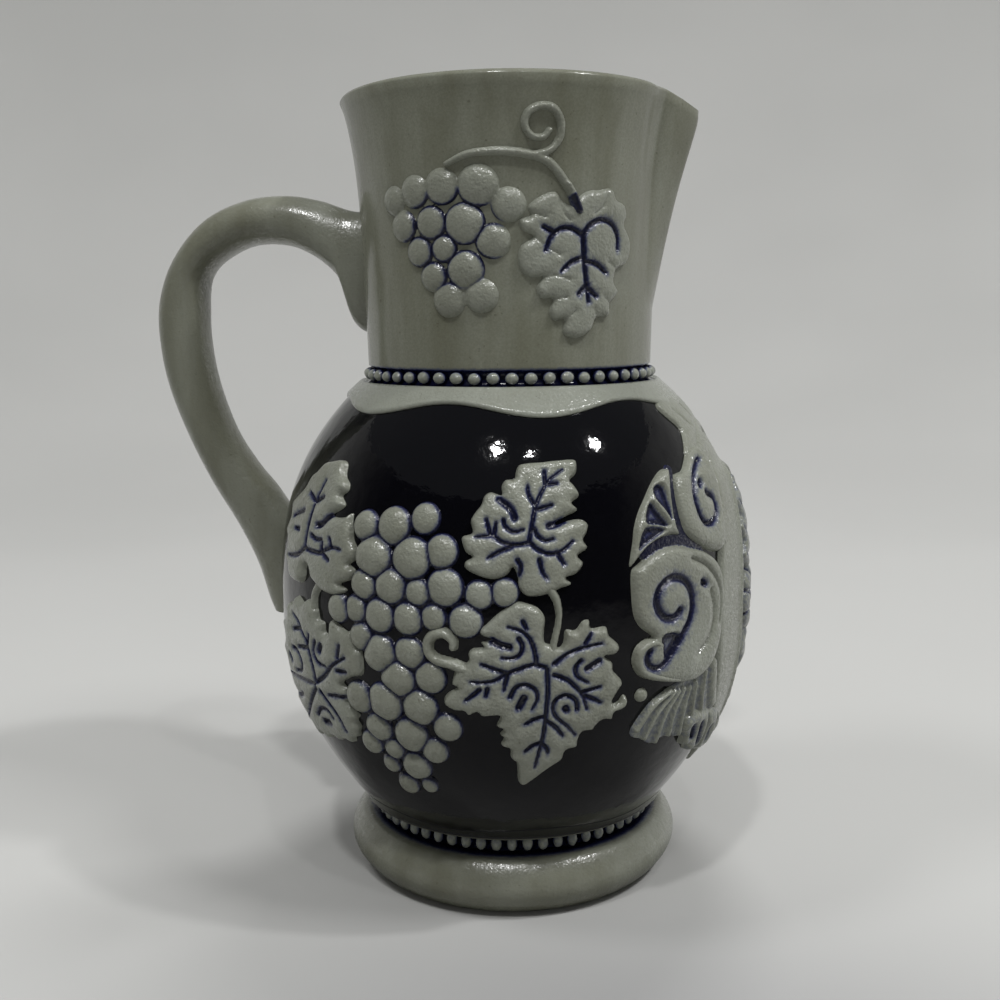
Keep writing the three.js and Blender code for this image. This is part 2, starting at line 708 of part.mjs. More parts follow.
const pairedFrontReliefs = {
  large_scroll: ribbon(spiral([-41.1, 7.8], 9.2, 2.6, 20, 500), [2.4, 1.2], 20),
  upper_scroll: ribbon(spiral([-26, 25.5], 5.4, 1.6, 200, 440), [1.1, 0.8], 16),
  lower_scroll: ribbon(spiral([-49.8, -5.6], 2.9, 1.2, 60, 340), [0.8, 0.6], 12),
  lattice: lattice(),
  shell: shell(),
};

const sideReliefs = {
  grape_bunch: bunch(sideGrapes),
  upper_front_leaf: leaf([26.5, 22], upperFrontLeaf),
  lower_front_leaf: leaf([30.5, -3.5], lowerFrontLeaf),
  upper_back_leaf: leaf([-25.5, 22], upperBackLeaf),
  lower_back_leaf: leaf([-24, -10], lowerBackLeaf),
  front_stem: ribbon([[31.5, 12.4], [33, 9], [33.2, 5]], [0.7, 0.7], 4),
  back_stem: ribbon([[-21, 10.5], [-22.5, 7.5], [-21.5, 4.5]], [1, 1], 4),
  tendril: ribbon([[14.4, -0.6], ...spiral([10.4, 1.1], 2, 1, -20, -280)], [0.5, 0.4], 10),
};

const neckReliefs = {
  neck_bunch: bunch(neckGrapes),
  neck_leaf: leaf([14.8, 26], neckLeaf),
  neck_vine: neckVine(),
};

function addReliefs(reliefs, panel, side, prefix = '') {
  for (const [name, geometry] of Object.entries(reliefs)) {
    addNode(prefix + name, laid(geometry, panel, side), paleRelief);
  }
}

addReliefs(frontReliefs, frontPanel, left);
for (const [sideName, side] of [['right_', right], ['left_', left]]) {
  addReliefs(sideReliefs, sidePanel, side, sideName);
  addReliefs(neckReliefs, neckPanel, side, sideName);
  addReliefs(pairedFrontReliefs, frontPanel, side, sideName);
}

export default pitcher;
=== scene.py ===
import math

import bpy
import numpy as np
from mathutils import Matrix, Vector

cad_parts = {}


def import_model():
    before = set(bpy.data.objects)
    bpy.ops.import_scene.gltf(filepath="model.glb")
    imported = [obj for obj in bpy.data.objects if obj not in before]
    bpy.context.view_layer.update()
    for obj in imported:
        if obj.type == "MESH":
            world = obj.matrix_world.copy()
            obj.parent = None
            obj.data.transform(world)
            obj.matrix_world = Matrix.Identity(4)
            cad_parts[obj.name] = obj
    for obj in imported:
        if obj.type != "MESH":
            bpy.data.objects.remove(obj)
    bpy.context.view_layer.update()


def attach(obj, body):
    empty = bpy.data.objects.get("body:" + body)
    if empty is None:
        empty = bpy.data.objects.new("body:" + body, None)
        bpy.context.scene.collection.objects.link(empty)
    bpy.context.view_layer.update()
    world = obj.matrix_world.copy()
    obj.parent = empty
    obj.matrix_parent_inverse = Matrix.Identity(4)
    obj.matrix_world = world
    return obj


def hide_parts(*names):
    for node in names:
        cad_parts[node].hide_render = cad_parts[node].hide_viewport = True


# A salt-glazed stoneware wine pitcher with applied vine reliefs. Sizes are in millimetres and become
# metres where a mesh is made. +Z is up, the spout points along +X and the handle along -X.

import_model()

MM = 0.001

# Thrown wall
PITCHER_HEIGHT = 180.0
BOWL_BASE_HEIGHT = 16.0
BOWL_BASE_RADIUS = 34.4
BELLY_HEIGHT = 66.0
BELLY_RADIUS = 54.8
NECK_BASE_HEIGHT = 118.0
NECK_RADIUS = 33.0
BOWL_FULLNESS = 2.2
SHOULDER_FULLNESS = 2.7
NECK_TAPER = 1.5
LIP_FLARE = 3.6
LIP_SHARPNESS = 5.0
WALL_THICKNESS = 4.2
RIM_THICKNESS = 3.2
FLOOR_THICKNESS = 7.0
NECK_HOLLOW = (175, 123)
BOWL_HOLLOW = (111, 22)
GROUND_TOP = 115.4

# Pulled spout
SPOUT_ROOT_HEIGHT = 133.0
SPOUT_ARC = 32
SPOUT_REACH = 7.9
SPOUT_TIP_TUCK = 2.2
TIP_TUCK_SHARPNESS = 8
SPOUT_EDGE_TUCK = 1.5
EDGE_TUCK_SHARPNESS = 30
SPOUT_DIP = 3.0
KEEL_AZIMUTH = math.radians(2.6)
CREASE_AZIMUTH = math.radians(14)
HOLLOW_AZIMUTH = math.radians(19)
HOLLOW_WIDTH = math.radians(6)
HOLLOW_DEPTH = 0.7

# Foot and bead bands
FOOT_HEIGHT = 13.0
FOOT_STAND_RADIUS = 34.9
FOOT_TOP_RADIUS = 36.4
FOOT_BULGE = 4.2
FOOT_LEDGE_RADIUS = 33.5
PLUG_RADIUS = 30.0
PLUG_GAP = 0.3
FOOT_BEADS = 60
FOOT_BEAD_HEIGHT = 15.4
FOOT_GROOVE_RADIUS = 31.5
FOOT_GROOVE_TOP = 18.0
NECK_BEADS = 52
NECK_BEAD_HEIGHT = 118.5
NECK_GROOVE_RADIUS = 31.8
NECK_GROOVE_BOTTOM = 116.6
NECK_GROOVE_TOP = 120.5

# Waves of the collar and the base band
WAVE_COUNT = 6
WAVE_PEAK = math.radians(-40)

# Panels of the ornament: how far round the wall from the spout, radius there, and arc of its level
SIDE_PANEL = (100.9, BELLY_RADIUS, 0.0)
FRONT_PANEL = (0.0, BELLY_RADIUS, 0.0)
RIGHT = -1
LEFT = 1

# Sprigs: grid cell, height of their sunk backs, rounding of their corners and slopes of their sides
CELL = 0.3
SUNK = -0.9
CORNER_ROUNDING = 0.3
EDGE_SLOPE = 3.0
SOFT_SLOPE = 2.5
CORD_SLOPE = 2.6


# Outline of the thrown wall

def wall_radius(z):
    z = np.asarray(z, float)
    low = np.clip((z - BOWL_BASE_HEIGHT) / (BELLY_HEIGHT - BOWL_BASE_HEIGHT), 0, 1)
    bowl = BOWL_BASE_RADIUS + (BELLY_RADIUS - BOWL_BASE_RADIUS) * (1 - (1 - low) ** BOWL_FULLNESS)
    high = np.clip((z - BELLY_HEIGHT) / (NECK_BASE_HEIGHT - BELLY_HEIGHT), 0, 1)
    shoulder = BELLY_RADIUS - (BELLY_RADIUS - NECK_RADIUS) * high ** SHOULDER_FULLNESS
    top = np.clip((z - NECK_BASE_HEIGHT) / (PITCHER_HEIGHT - NECK_BASE_HEIGHT), 0, 1)
    neck = NECK_RADIUS + NECK_TAPER * top + LIP_FLARE * top ** LIP_SHARPNESS
    return np.where(z <= BELLY_HEIGHT, bowl, np.where(z <= NECK_BASE_HEIGHT, shoulder, neck))


ARC_HEIGHTS = np.linspace(BOWL_BASE_HEIGHT, PITCHER_HEIGHT, 1641)
ARC_LENGTHS = np.concatenate(([0], np.cumsum(np.hypot(
    np.diff(ARC_HEIGHTS), np.diff(wall_radius(ARC_HEIGHTS))))))
ARC_LENGTHS -= np.interp(BELLY_HEIGHT, ARC_HEIGHTS, ARC_LENGTHS)


def arc_at(height):
    return float(np.interp(height, ARC_HEIGHTS, ARC_LENGTHS))


NECK_PANEL = (46.1, NECK_RADIUS, arc_at(NECK_BASE_HEIGHT))


def turned(radius, height, azimuth):
    """Points in metres at the given radii, heights and azimuths about the pitcher's axis."""
    r, z, a = np.broadcast_arrays(radius, height, azimuth)
    return MM * np.stack((r * np.cos(a), r * np.sin(a), z), -1)


def wall_points(azimuth, arc, lift):
    """Points off the wall in metres, at azimuths from the spout and arcs above the widest line."""
    z = np.interp(arc, ARC_LENGTHS, ARC_HEIGHTS)
    slope = (wall_radius(z + 0.05) - wall_radius(z - 0.05)) / 0.1
    slope = np.where(np.abs(z - NECK_BASE_HEIGHT) < 0.06, 0.0, slope)
    length = np.hypot(1, slope)
    return turned(wall_radius(z) + lift / length, z - lift * slope / length, azimuth)


# Meshes

def new_piece(name, points, faces, material, attributes):
    mesh = bpy.data.meshes.new(name)
    mesh.from_pydata(np.asarray(points).tolist(), [], [list(map(int, face)) for face in faces])
    mesh.polygons.foreach_set("use_smooth", [True] * len(mesh.polygons))
    for key, values in attributes.items():
        layer = mesh.attributes.new(key, "FLOAT", "POINT")
        layer.data.foreach_set("value", np.asarray(values, np.float32).ravel())
    mesh.materials.append(material)
    mesh.update()
    piece = bpy.data.objects.new(name, mesh)
    bpy.context.scene.collection.objects.link(piece)
    return piece


def place(piece, slot, *nodes):
    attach(piece, "root")
    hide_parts(*nodes)


def turns_of(count):
    return np.arange(count) * 2 * math.pi / count


def grid_faces(rings, count, closed=False):
    """Quads between rings of points numbered ring by ring; closed joins the last ring to the first."""
    r, c = np.indices((rings if closed else rings - 1, count)).reshape(2, -1)
    up = (r + 1) % rings
    over = (c + 1) % count
    return np.stack((r * count + c, r * count + over, up * count + over, up * count + c), -1)


def closed_tube(rings, start, end):
    """Points and faces of a tube of rings whose ends are closed by fans of triangles."""
    count = len(rings[0])
    points = np.concatenate(([start], rings.reshape(-1, 3), [end]))
    faces = (grid_faces(len(rings), count) + 1).tolist()
    last = 1 + count * (len(rings) - 1)
    for k in range(count):
        over = (k + 1) % count
        faces.append([0, 1 + over, 1 + k])
        faces.append([len(points) - 1, last + k, last + over])
    return points, faces


def smoothstep(low, high, value):
    t = np.clip((value - low) / (high - low), 0, 1)
    return t * t * (3 - 2 * t)


# Materials

class Nodes:
    """Builds the shader nodes of one material."""

    def __init__(self, name):
        self.material = bpy.data.materials.new(name)
        self.material.use_nodes = True
        self.tree = self.material.node_tree
        self.shader = self.tree.nodes["Principled BSDF"]
        self.place = self.add("ShaderNodeTexCoord").outputs["Object"]

    def add(self, kind, **values):
        node = self.tree.nodes.new(kind)
        for key, value in values.items():
            setattr(node, key, value)
        return node

    def link(self, source, target):
        self.tree.links.new(source, target)

    def attribute(self, name):
        return self.add("ShaderNodeAttribute", attribute_name=name).outputs["Fac"]

    def noise(self, scale, detail=2.0, roughness=0.5, stretch=(1, 1, 1)):
        mapping = self.add("ShaderNodeMapping")
        mapping.inputs["Scale"].default_value = stretch
        self.link(self.place, mapping.inputs["Vector"])
        noise = self.add("ShaderNodeTexNoise")
        noise.inputs["Scale"].default_value = scale
        noise.inputs["Detail"].default_value = detail
        noise.inputs["Roughness"].default_value = roughness
        self.link(mapping.outputs["Vector"], noise.inputs["Vector"])
        return noise.outputs["Fac"]

    def ranged(self, value, low, high, out_low=0.0, out_high=1.0):
        node = self.add("ShaderNodeMapRange", interpolation_type="SMOOTHSTEP")
        node.inputs["From Min"].default_value = low
        node.inputs["From Max"].default_value = high
        node.inputs["To Min"].default_value = out_low
        node.inputs["To Max"].default_value = out_high
        self.link(value, node.inputs["Value"])
        return node.outputs["Result"]

    def mix(self, factor, a, b):
        node = self.add("ShaderNodeMix", data_type="RGBA")
        for value, socket in ((factor, node.inputs["Factor"]), (a, node.inputs["A"]), (b, node.inputs["B"])):
            if isinstance(value, tuple):
                socket.default_value = (*value, 1)
            elif isinstance(value, float):
                socket.default_value = value
            else:
                self.link(value, socket)
        return node.outputs["Result"]

    def bump(self, height, strength, distance, normal=None):
        node = self.add("ShaderNodeBump")
        node.inputs["Strength"].default_value = strength
        node.inputs["Distance"].default_value = distance
        self.link(height, node.inputs["Height"])
        if normal is not None:
            self.link(normal, node.inputs["Normal"])
        return node.outputs["Normal"]


def srgb(red, green, blue):
    return tuple(
        channel / 12.92 if channel <= 0.04045 else ((channel + 0.055) / 1.055) ** 2.4
        for channel in (red / 255, green / 255, blue / 255)
    )


GREY = srgb(118, 120, 109)
GREY_PALE = srgb(140, 144, 136)
GREY_DEEP = srgb(102, 103, 90)
SPECK = srgb(72, 70, 56)
WASH = srgb(74, 80, 100)
COBALT = srgb(27, 31, 66)
COBALT_DEEP = srgb(13, 15, 38)
GROUND = srgb(6, 6, 9)


def grey_glaze(nodes, pale):
    """Colour of the salt glaze: faint streaks drawn down the wall, an orange-peel grain and few specks."""
    streaks = nodes.ranged(nodes.noise(110, 3.0, 0.6, (1, 1, 0.16)), 0.3, 0.72)
    colour = nodes.mix(streaks, GREY_DEEP, GREY)
    clouds = nodes.ranged(nodes.noise(38, 2.0, 0.5, (1, 1, 0.6)), 0.45, 0.8, pale, min(pale + 0.35, 1.0))
    colour = nodes.mix(clouds, colour, GREY_PALE)
    grain = nodes.ranged(nodes.noise(2100, 2.0, 0.6), 0.3, 0.7, 0.22, 0.0)
    colour = nodes.mix(grain, colour, SPECK)
    specks = nodes.ranged(nodes.noise(950, 2.0, 0.5), 0.68, 0.76, 0.0, 0.45)
    return nodes.mix(specks, colour, SPECK)


def glaze_bump(nodes, wave, peel, grain):
    """Slow ripples, orange peel and fine salt grain, each as a share of its full depth."""
    normal = nodes.bump(nodes.noise(95, 2.0, 0.5), wave, 0.001)
    normal = nodes.bump(nodes.noise(620, 2.0, 0.5), peel, 0.0003, normal)
    return nodes.bump(nodes.noise(1700, 1.0, 0.5), grain, 0.0002, normal)


def painted(nodes, colour):
    """Cobalt lies thick where the paint attribute is full and thins to a grey-blue wash at its edges."""
    ragged = nodes.ranged(nodes.noise(900, 3.0, 0.6), 0.3, 0.7, -0.1, 0.1)
    total = nodes.add("ShaderNodeMath", operation="ADD")
    nodes.link(nodes.attribute("paint"), total.inputs[0])
    nodes.link(ragged, total.inputs[1])
    colour = nodes.mix(nodes.ranged(total.outputs[0], 0.06, 0.35, 0.0, 0.75), colour, WASH)
    colour = nodes.mix(nodes.ranged(total.outputs[0], 0.3, 0.65), colour, COBALT)
    return nodes.mix(nodes.ranged(total.outputs[0], 0.6, 1.0), colour, COBALT_DEEP)


def glaze_material(name, pale=0.0, roughness=0.3, peel=0.3, grain=0.3):
    nodes = Nodes(name)
    nodes.link(painted(nodes, grey_glaze(nodes, pale)), nodes.shader.inputs["Base Color"])
    nodes.shader.inputs["Roughness"].default_value = roughness
    glints = nodes.ranged(nodes.noise(2100, 1.0, 0.5), 0.5, 0.62, 0.1, 1.0)
    nodes.link(glints, nodes.shader.inputs["Coat Weight"])
    nodes.shader.inputs["Coat Roughness"].default_value = 0.2
    nodes.shader.inputs["Coat IOR"].default_value = 1.65
    normal = glaze_bump(nodes, 0.25, peel, grain)
    nodes.link(normal, nodes.shader.inputs["Normal"])
    nodes.link(normal, nodes.shader.inputs["Coat Normal"])
    return nodes.material


def vessel_material():
    nodes = Nodes("vessel_glaze")
    grey = painted(nodes, grey_glaze(nodes, 0.0))
    ground = nodes.attribute("ground")
    nodes.link(nodes.mix(ground, grey, GROUND), nodes.shader.inputs["Base Color"])
    nodes.link(nodes.ranged(ground, 0.0, 1.0, 0.18, 0.05), nodes.shader.inputs["Roughness"])
    nodes.link(glaze_bump(nodes, 0.3, 0.12, 0.04), nodes.shader.inputs["Normal"])
    return nodes.material


GREY_GLAZE = glaze_material("grey_glaze")
COLLAR_GLAZE = glaze_material("collar_glaze", pale=0.6, roughness=0.25, peel=0.5, grain=0.5)
RELIEF_GLAZE = glaze_material("relief_glaze", pale=0.35, roughness=0.32, peel=0.6, grain=0.8)
BEAD_GLAZE = glaze_material("bead_glaze", pale=0.5, roughness=0.2, peel=0.5, grain=0.5)
VESSEL_GLAZE = vessel_material()


# Vessel: bowl, neck and lip thrown as one wall, with the spout pulled from the soft lip

def spout_shift(azimuth, radius, height):
    """Moves wall points into the spout: a beak with a rounded keel between two crisp creases."""
    rise = np.clip((height - SPOUT_ROOT_HEIGHT) / (PITCHER_HEIGHT - SPOUT_ROOT_HEIGHT), 0, 1)
    turn = np.abs((azimuth + math.pi) % (2 * math.pi) - math.pi)
    keel = KEEL_AZIMUTH
    rounded = np.where(turn < keel, (turn ** 2 + keel ** 2) / (2 * keel), turn)
    beak = np.clip(1 - (rounded - keel / 2) / (CREASE_AZIMUTH - keel / 2), 0, 1)
    hollow = HOLLOW_DEPTH * rise ** 0.7 * np.exp(-((turn - HOLLOW_AZIMUTH) / HOLLOW_WIDTH) ** 2)
    tuck = SPOUT_TIP_TUCK * rise ** TIP_TUCK_SHARPNESS + SPOUT_EDGE_TUCK * rise ** EDGE_TUCK_SHARPNESS
    return radius + (SPOUT_REACH * rise - tuck) * beak - hollow, height - SPOUT_DIP * rise ** 3 * beak


def wall_rows(low, high, count, inset=0.0):
    """Points of the wall's outline as (radius, height), set in from its outside."""
    return [(float(wall_radius(z)) - inset, z) for z in np.linspace(low, high, count)]


def vessel_profile():
    """The outline as (radius, height) from the underside's middle round the lip to the floor's middle."""
    points = [(0.0, 0.0), (PLUG_RADIUS * 0.5, 0.0), (PLUG_RADIUS, 0.0), (PLUG_RADIUS, FOOT_HEIGHT - 0.2)]
    points += [(FOOT_GROOVE_RADIUS, FOOT_HEIGHT), (FOOT_GROOVE_RADIUS, FOOT_GROOVE_TOP - 0.9)]
    edge = float(wall_radius(FOOT_GROOVE_TOP))
    points += [(FOOT_GROOVE_RADIUS + 0.6, FOOT_GROOVE_TOP - 0.3), (edge - 0.5, FOOT_GROOVE_TOP - 0.1)]
    points += wall_rows(FOOT_GROOVE_TOP + 0.4, NECK_GROOVE_BOTTOM - 0.4, 110)
    for share in np.linspace(0, 1, 9):
        radius = NECK_GROOVE_RADIUS + 1.25 * abs(2 * share - 1) ** 4 + 0.45 * (1 - share) ** 4
        points.append((radius, NECK_GROOVE_BOTTOM + (NECK_GROOVE_TOP - NECK_GROOVE_BOTTOM) * share))
    points += wall_rows(NECK_GROOVE_TOP + 0.5, PITCHER_HEIGHT - 3, 62)
    lip, half = float(wall_radius(PITCHER_HEIGHT)), RIM_THICKNESS / 2
    for turn in math.pi * np.linspace(0.1, 1, 9):
        points.append((lip - half + half * math.cos(turn), PITCHER_HEIGHT - half + half * math.sin(turn)))
    points += wall_rows(*NECK_HOLLOW, 26, WALL_THICKNESS)
    for z in np.linspace(*BOWL_HOLLOW, 46):
        slope = float(wall_radius(z + 0.1) - wall_radius(z - 0.1)) / 0.2
        points.append((float(wall_radius(z)) - WALL_THICKNESS * math.hypot(1, slope), z))
    points += [(24.2, 10.2), (20, FLOOR_THICKNESS + 0.4), (10, FLOOR_THICKNESS), (0.0, FLOOR_THICKNESS)]
    return np.array(points)


def vessel():
    profile = vessel_profile()
    fine = np.linspace(-SPOUT_ARC, SPOUT_ARC, 97)[1:-1]
    coarse = np.linspace(SPOUT_ARC, 360 - SPOUT_ARC, 223)
    azimuths = np.radians(np.concatenate((fine, coarse)))
    radius, height = spout_shift(azimuths, profile[1:-1, :1], profile[1:-1, 1:])
    points, faces = closed_tube(turned(radius, height, azimuths), (0, 0, 0), (0, 0, MM * FLOOR_THICKNESS))
    z = profile[:, 1]
    outside = np.arange(len(z)) < z.argmax()
    ground = outside & (z > FOOT_GROOVE_TOP) & (z < GROUND_TOP)
    foot_paint = smoothstep(FOOT_HEIGHT - 0.5, FOOT_HEIGHT + 0.2, z)
    foot_paint *= 1 - smoothstep(FOOT_GROOVE_TOP, FOOT_GROOVE_TOP + 0.6, z)
    neck_paint = smoothstep(NECK_GROOVE_BOTTOM - 1, NECK_GROOVE_BOTTOM - 0.2, z)
    neck_paint *= 1 - smoothstep(NECK_GROOVE_TOP - 0.6, NECK_GROOVE_TOP + 0.4, z)
    paint = outside * np.maximum(foot_paint, neck_paint)
    spread = [1] + [len(azimuths)] * (len(z) - 2) + [1]
    piece = new_piece("vessel_wall", points, faces, VESSEL_GLAZE,
                      {"ground": np.repeat(ground, spread), "paint": np.repeat(paint, spread)})
    place(piece, "vessel_glaze", "vessel")


vessel()


# Foot: a moulded ring with a full, rounded outside

def foot():
    outline = [(PLUG_RADIUS + PLUG_GAP, 0.0)]
    outline += [(FOOT_STAND_RADIUS - 0.7, 0.0), (FOOT_STAND_RADIUS - 0.15, 0.15)]
    for share in np.linspace(0.04, 0.97, 26):
        straight = FOOT_STAND_RADIUS + (FOOT_TOP_RADIUS - FOOT_STAND_RADIUS) * share
        outline.append((straight + FOOT_BULGE * math.sin(math.pi * share) ** 0.8, FOOT_HEIGHT * share))
    outline += [(FOOT_TOP_RADIUS - 0.1, FOOT_HEIGHT - 0.05), (FOOT_TOP_RADIUS - 0.8, FOOT_HEIGHT)]
    outline += [(FOOT_LEDGE_RADIUS, FOOT_HEIGHT), (PLUG_RADIUS + PLUG_GAP, FOOT_HEIGHT - 0.2)]
    outline = np.array(outline)
    azimuths = turns_of(180)
    points = turned(outline[:, :1], outline[:, 1:], azimuths).reshape(-1, 3)
    faces = grid_faces(len(outline), len(azimuths), True)
    paint = np.repeat(outline[:, 0] == FOOT_LEDGE_RADIUS, len(azimuths))
    piece = new_piece("foot_ring", points, faces, GREY_GLAZE, {"paint": paint})
    place(piece, "grey_glaze", "foot")


foot()


# Bead bands: egg-shaped beads of clay, no two quite alike

def bead_band(name, node, count, ring_radius, height, size, wash, seed):
    random = np.random.default_rng(seed)
    latitude = np.linspace(-math.pi / 2, math.pi / 2, 11)[1:-1, None]
    turns = turns_of(16)
    rings = np.stack(np.broadcast_arrays(
        np.sin(latitude), np.cos(latitude) * np.cos(turns), np.cos(latitude) * np.sin(turns)), -1)
    ball, ball_faces = closed_tube(rings, (-1, 0, 0), (1, 0, 0))
    points, faces = [], []
    for bead in range(count):
        azimuth = 2 * math.pi * (bead + 0.5) / count
        out, across, up = np.array(size) * random.uniform(0.92, 1.04, 3)
        shift = random.uniform(-0.08, 0.08)
        outward = np.array([math.cos(azimuth), math.sin(azimuth), 0])
        around = np.array([-math.sin(azimuth), math.cos(azimuth), 0])
        centre = ring_radius * outward + (0, 0, height + shift)
        points.append(centre + ball @ np.array([out * outward, across * around, (0, 0, up)]))
        faces += [[corner + bead * len(ball) for corner in face] for face in ball_faces]
    # wash is a least cobalt paint on each bead; the foot row's higher wash is also painted shade, darkening
    # beads that lie in shade under the belly.
    paint = np.tile(np.maximum(wash, 1 - smoothstep(-0.1, 0.6, ball[:, 0])), count)
    piece = new_piece(name, MM * np.concatenate(points), faces, BEAD_GLAZE, {"paint": paint})
    place(piece, "bead_glaze", node)


bead_band("neck_bead_row", "neck_beads", NECK_BEADS, NECK_GROOVE_RADIUS + 1.0, NECK_BEAD_HEIGHT + 0.1,
          (1.5, 1.5, 1.35), 0.09, 5)
# Foot beads: their wash of 0.15 is partly painted shade.
bead_band("foot_bead_row", "foot_beads", FOOT_BEADS, FOOT_GROOVE_RADIUS + 1.4, FOOT_BEAD_HEIGHT,
          (1.7, 1.25, 1.9), 0.15, 9)


# Collar and base band: thin skirts of clay whose free edges run in waves; the collar's edge is rolled and the
# base band's thins into the wall

def skirt(name, node, fixed_arc, width, wave_height, material, section, bare_share):
    """A skirt whose section is given as (share of the way to its free edge, height off the wall)."""
    share, lift = np.array(section).T[..., None]
    azimuths = turns_of(360)
    edge = fixed_arc - width + wave_height * np.cos(WAVE_COUNT * (azimuths - WAVE_PEAK))
    points = wall_points(azimuths, fixed_arc + (edge - fixed_arc) * share, lift).reshape(-1, 3)
    faces = grid_faces(len(section), len(azimuths), True)
    if width > 0:
        faces = faces[:, ::-1]
    ground = np.repeat(smoothstep(bare_share, bare_share + 0.08, share), len(azimuths))
    piece = new_piece(name, points, faces, material, {"paint": np.zeros(len(points)), "ground": ground})
    place(piece, "grey_glaze", node)


ROLLED_EDGE = [(0.0, SUNK), (0.0, 0.6)]
ROLLED_EDGE += [(share, 0.6 + 0.2 * share ** 0.7) for share in np.linspace(0.1, 0.84, 9)]
ROLLED_EDGE += [(0.84 + 0.17 * math.sin(turn), 0.2 + 0.64 * math.cos(turn))
                for turn in np.radians([15, 35, 55, 75, 90, 105])]
ROLLED_EDGE.append((0.97, SUNK))
FADING_EDGE = [(0.0, SUNK), (-0.03, 0.1), (0.0, 0.45), (0.06, 0.6), (0.12, 0.55)]
FADING_EDGE += [(share, 0.55 * (1 - share) ** 1.6 + 0.03) for share in np.linspace(0.2, 1.0, 8)]
FADING_EDGE.append((1.0, SUNK))
skirt("collar_skirt", "shoulder_collar", arc_at(116.8) - 0.3, 6.1, 1.8, COLLAR_GLAZE, ROLLED_EDGE, 2.0)
skirt("base_skirt", "base_band", arc_at(FOOT_GROOVE_TOP) + 0.2, -3.2, -0.8, VESSEL_GLAZE, FADING_EDGE, 0.06)


# Handle: pulled clay, swept between its outer and inner edges, with its terminals set into the wall

HANDLE_OUTER = [(30, 156), (37.3, 156.3), (45.4, 158.9), (54, 160.2), (64.3, 159.1), (74.4, 154.5),
                (82.4, 145.5), (86.6, 135), (86.7, 124), (84.6, 113.5), (80, 101.6), (74.7, 90.8),
                (68.7, 80.8), (64, 71.1), (61.3, 62.4), (60, 59.2)]
HANDLE_INNER = [(30, 126.2), (37, 129.8), (40.4, 140.4), (49.9, 147.5), (60.4, 148.9), (68.8, 146),
                (74.1, 141.1), (75.1, 132.5), (74.9, 124.5), (73.2, 115), (69.3, 104), (64.1, 95.8),
                (58.2, 88.6), (52.9, 79), (51, 66), (51, 59.2)]
HANDLE_HALF_WIDTH = 7.3
HANDLE_END_HALF_WIDTH = 6.2
HANDLE_ROUNDNESS = 0.94


def spline(points, per_span=6, closed=False):
    """A smooth line through the points."""
    p = np.array(points, float)
    if closed:
        p = np.concatenate((p[-1:], p, p[:2]))
    else:
        p = np.concatenate((2 * p[:1] - p[1:2], p, 2 * p[-1:] - p[-2:-1]))
    t = (np.arange(per_span) / per_span)[:, None]
    spans = []
    for a, b, c, d in zip(p[:-3], p[1:-2], p[2:-1], p[3:]):
        spans.append(0.5 * (2 * b + (c - a) * t + (2 * a - 5 * b + 4 * c - d) * t ** 2
                            + (3 * b - a - 3 * c + d) * t ** 3))
    line = np.concatenate(spans)
    return line if closed else np.concatenate((line, p[-2:-1]))


def handle():
    outer, inner = spline(HANDLE_OUTER, 10), spline(HANDLE_INNER, 10)
    waves = np.array([np.cos(turns_of(40)), np.sin(turns_of(40))])
    along, side = np.sign(waves) * np.abs(waves) ** HANDLE_ROUNDNESS
    rings = []
    for share, top, bottom in zip(np.linspace(-1, 1, len(outer)), outer, inner):
        centre, half = (top + bottom) / 2, (top - bottom) / 2
        width = HANDLE_HALF_WIDTH + (HANDLE_END_HALF_WIDTH - HANDLE_HALF_WIDTH) * share ** 4
        forward, up = -(centre[0] + half[0] * along), centre[1] + half[1] * along
        rings.append(np.stack((forward, width * side, up), -1))
    rings = MM * np.array(rings)
    points, faces = closed_tube(rings, rings[0].mean(0), rings[-1].mean(0))
    piece = new_piece("pulled_handle", points, faces, GREY_GLAZE, {"paint": np.zeros(len(points))})
    place(piece, "grey_glaze", "handle")


handle()


# Sprigs: reliefs that are drawn on a fine grid in a panel's plane and laid onto the wall

class Field:
    """A grid over one sprig's extent, with the height of its clay and its cobalt paint."""

    def __init__(self, low, high, cell=CELL):
        self.x, self.y = np.meshgrid(np.arange(low[0], high[0] + cell, cell),
                                     np.arange(low[1], high[1] + cell, cell), indexing="xy")
        self.height = np.full(self.x.shape, -3.0)
        self.paint = np.zeros(self.x.shape)

    def distance(self, line):
        """Distance from each grid point to a line of points."""
        nearest = np.full(self.x.shape, 1e9)
        for a, b in zip(line[:-1], line[1:]):
            span = b - a
            length = max(span @ span, 1e-12)
            t = np.clip(((self.x - a[0]) * span[0] + (self.y - a[1]) * span[1]) / length, 0, 1)
            away = (self.x - a[0] - t * span[0]) ** 2 + (self.y - a[1] - t * span[1]) ** 2
            nearest = np.minimum(nearest, away)
        return np.sqrt(nearest)

    def inside(self, outline):
        """Distance from an outline, positive inside it."""
        closed = np.concatenate((outline, outline[:1]))
        within = np.zeros(self.x.shape, bool)
        for (ax, ay), (bx, by) in zip(closed[:-1], closed[1:]):
            crosses = (ay > self.y) != (by > self.y)
            at = ax + (self.y - ay) * (bx - ax) / (by - ay if by != ay else 1e-12)
            within ^= crosses & (self.x < at)
        away = self.distance(closed)
        return np.where(within, away, -away)


def edge_rise(inside, thickness, slope=EDGE_SLOPE):
    """Height of a rounded edge: steep at the outline, level further in."""
    rise = thickness * (1 - np.exp(-slope * np.maximum(inside, 0) / thickness))
    return np.where(inside > 0, rise, slope * inside)


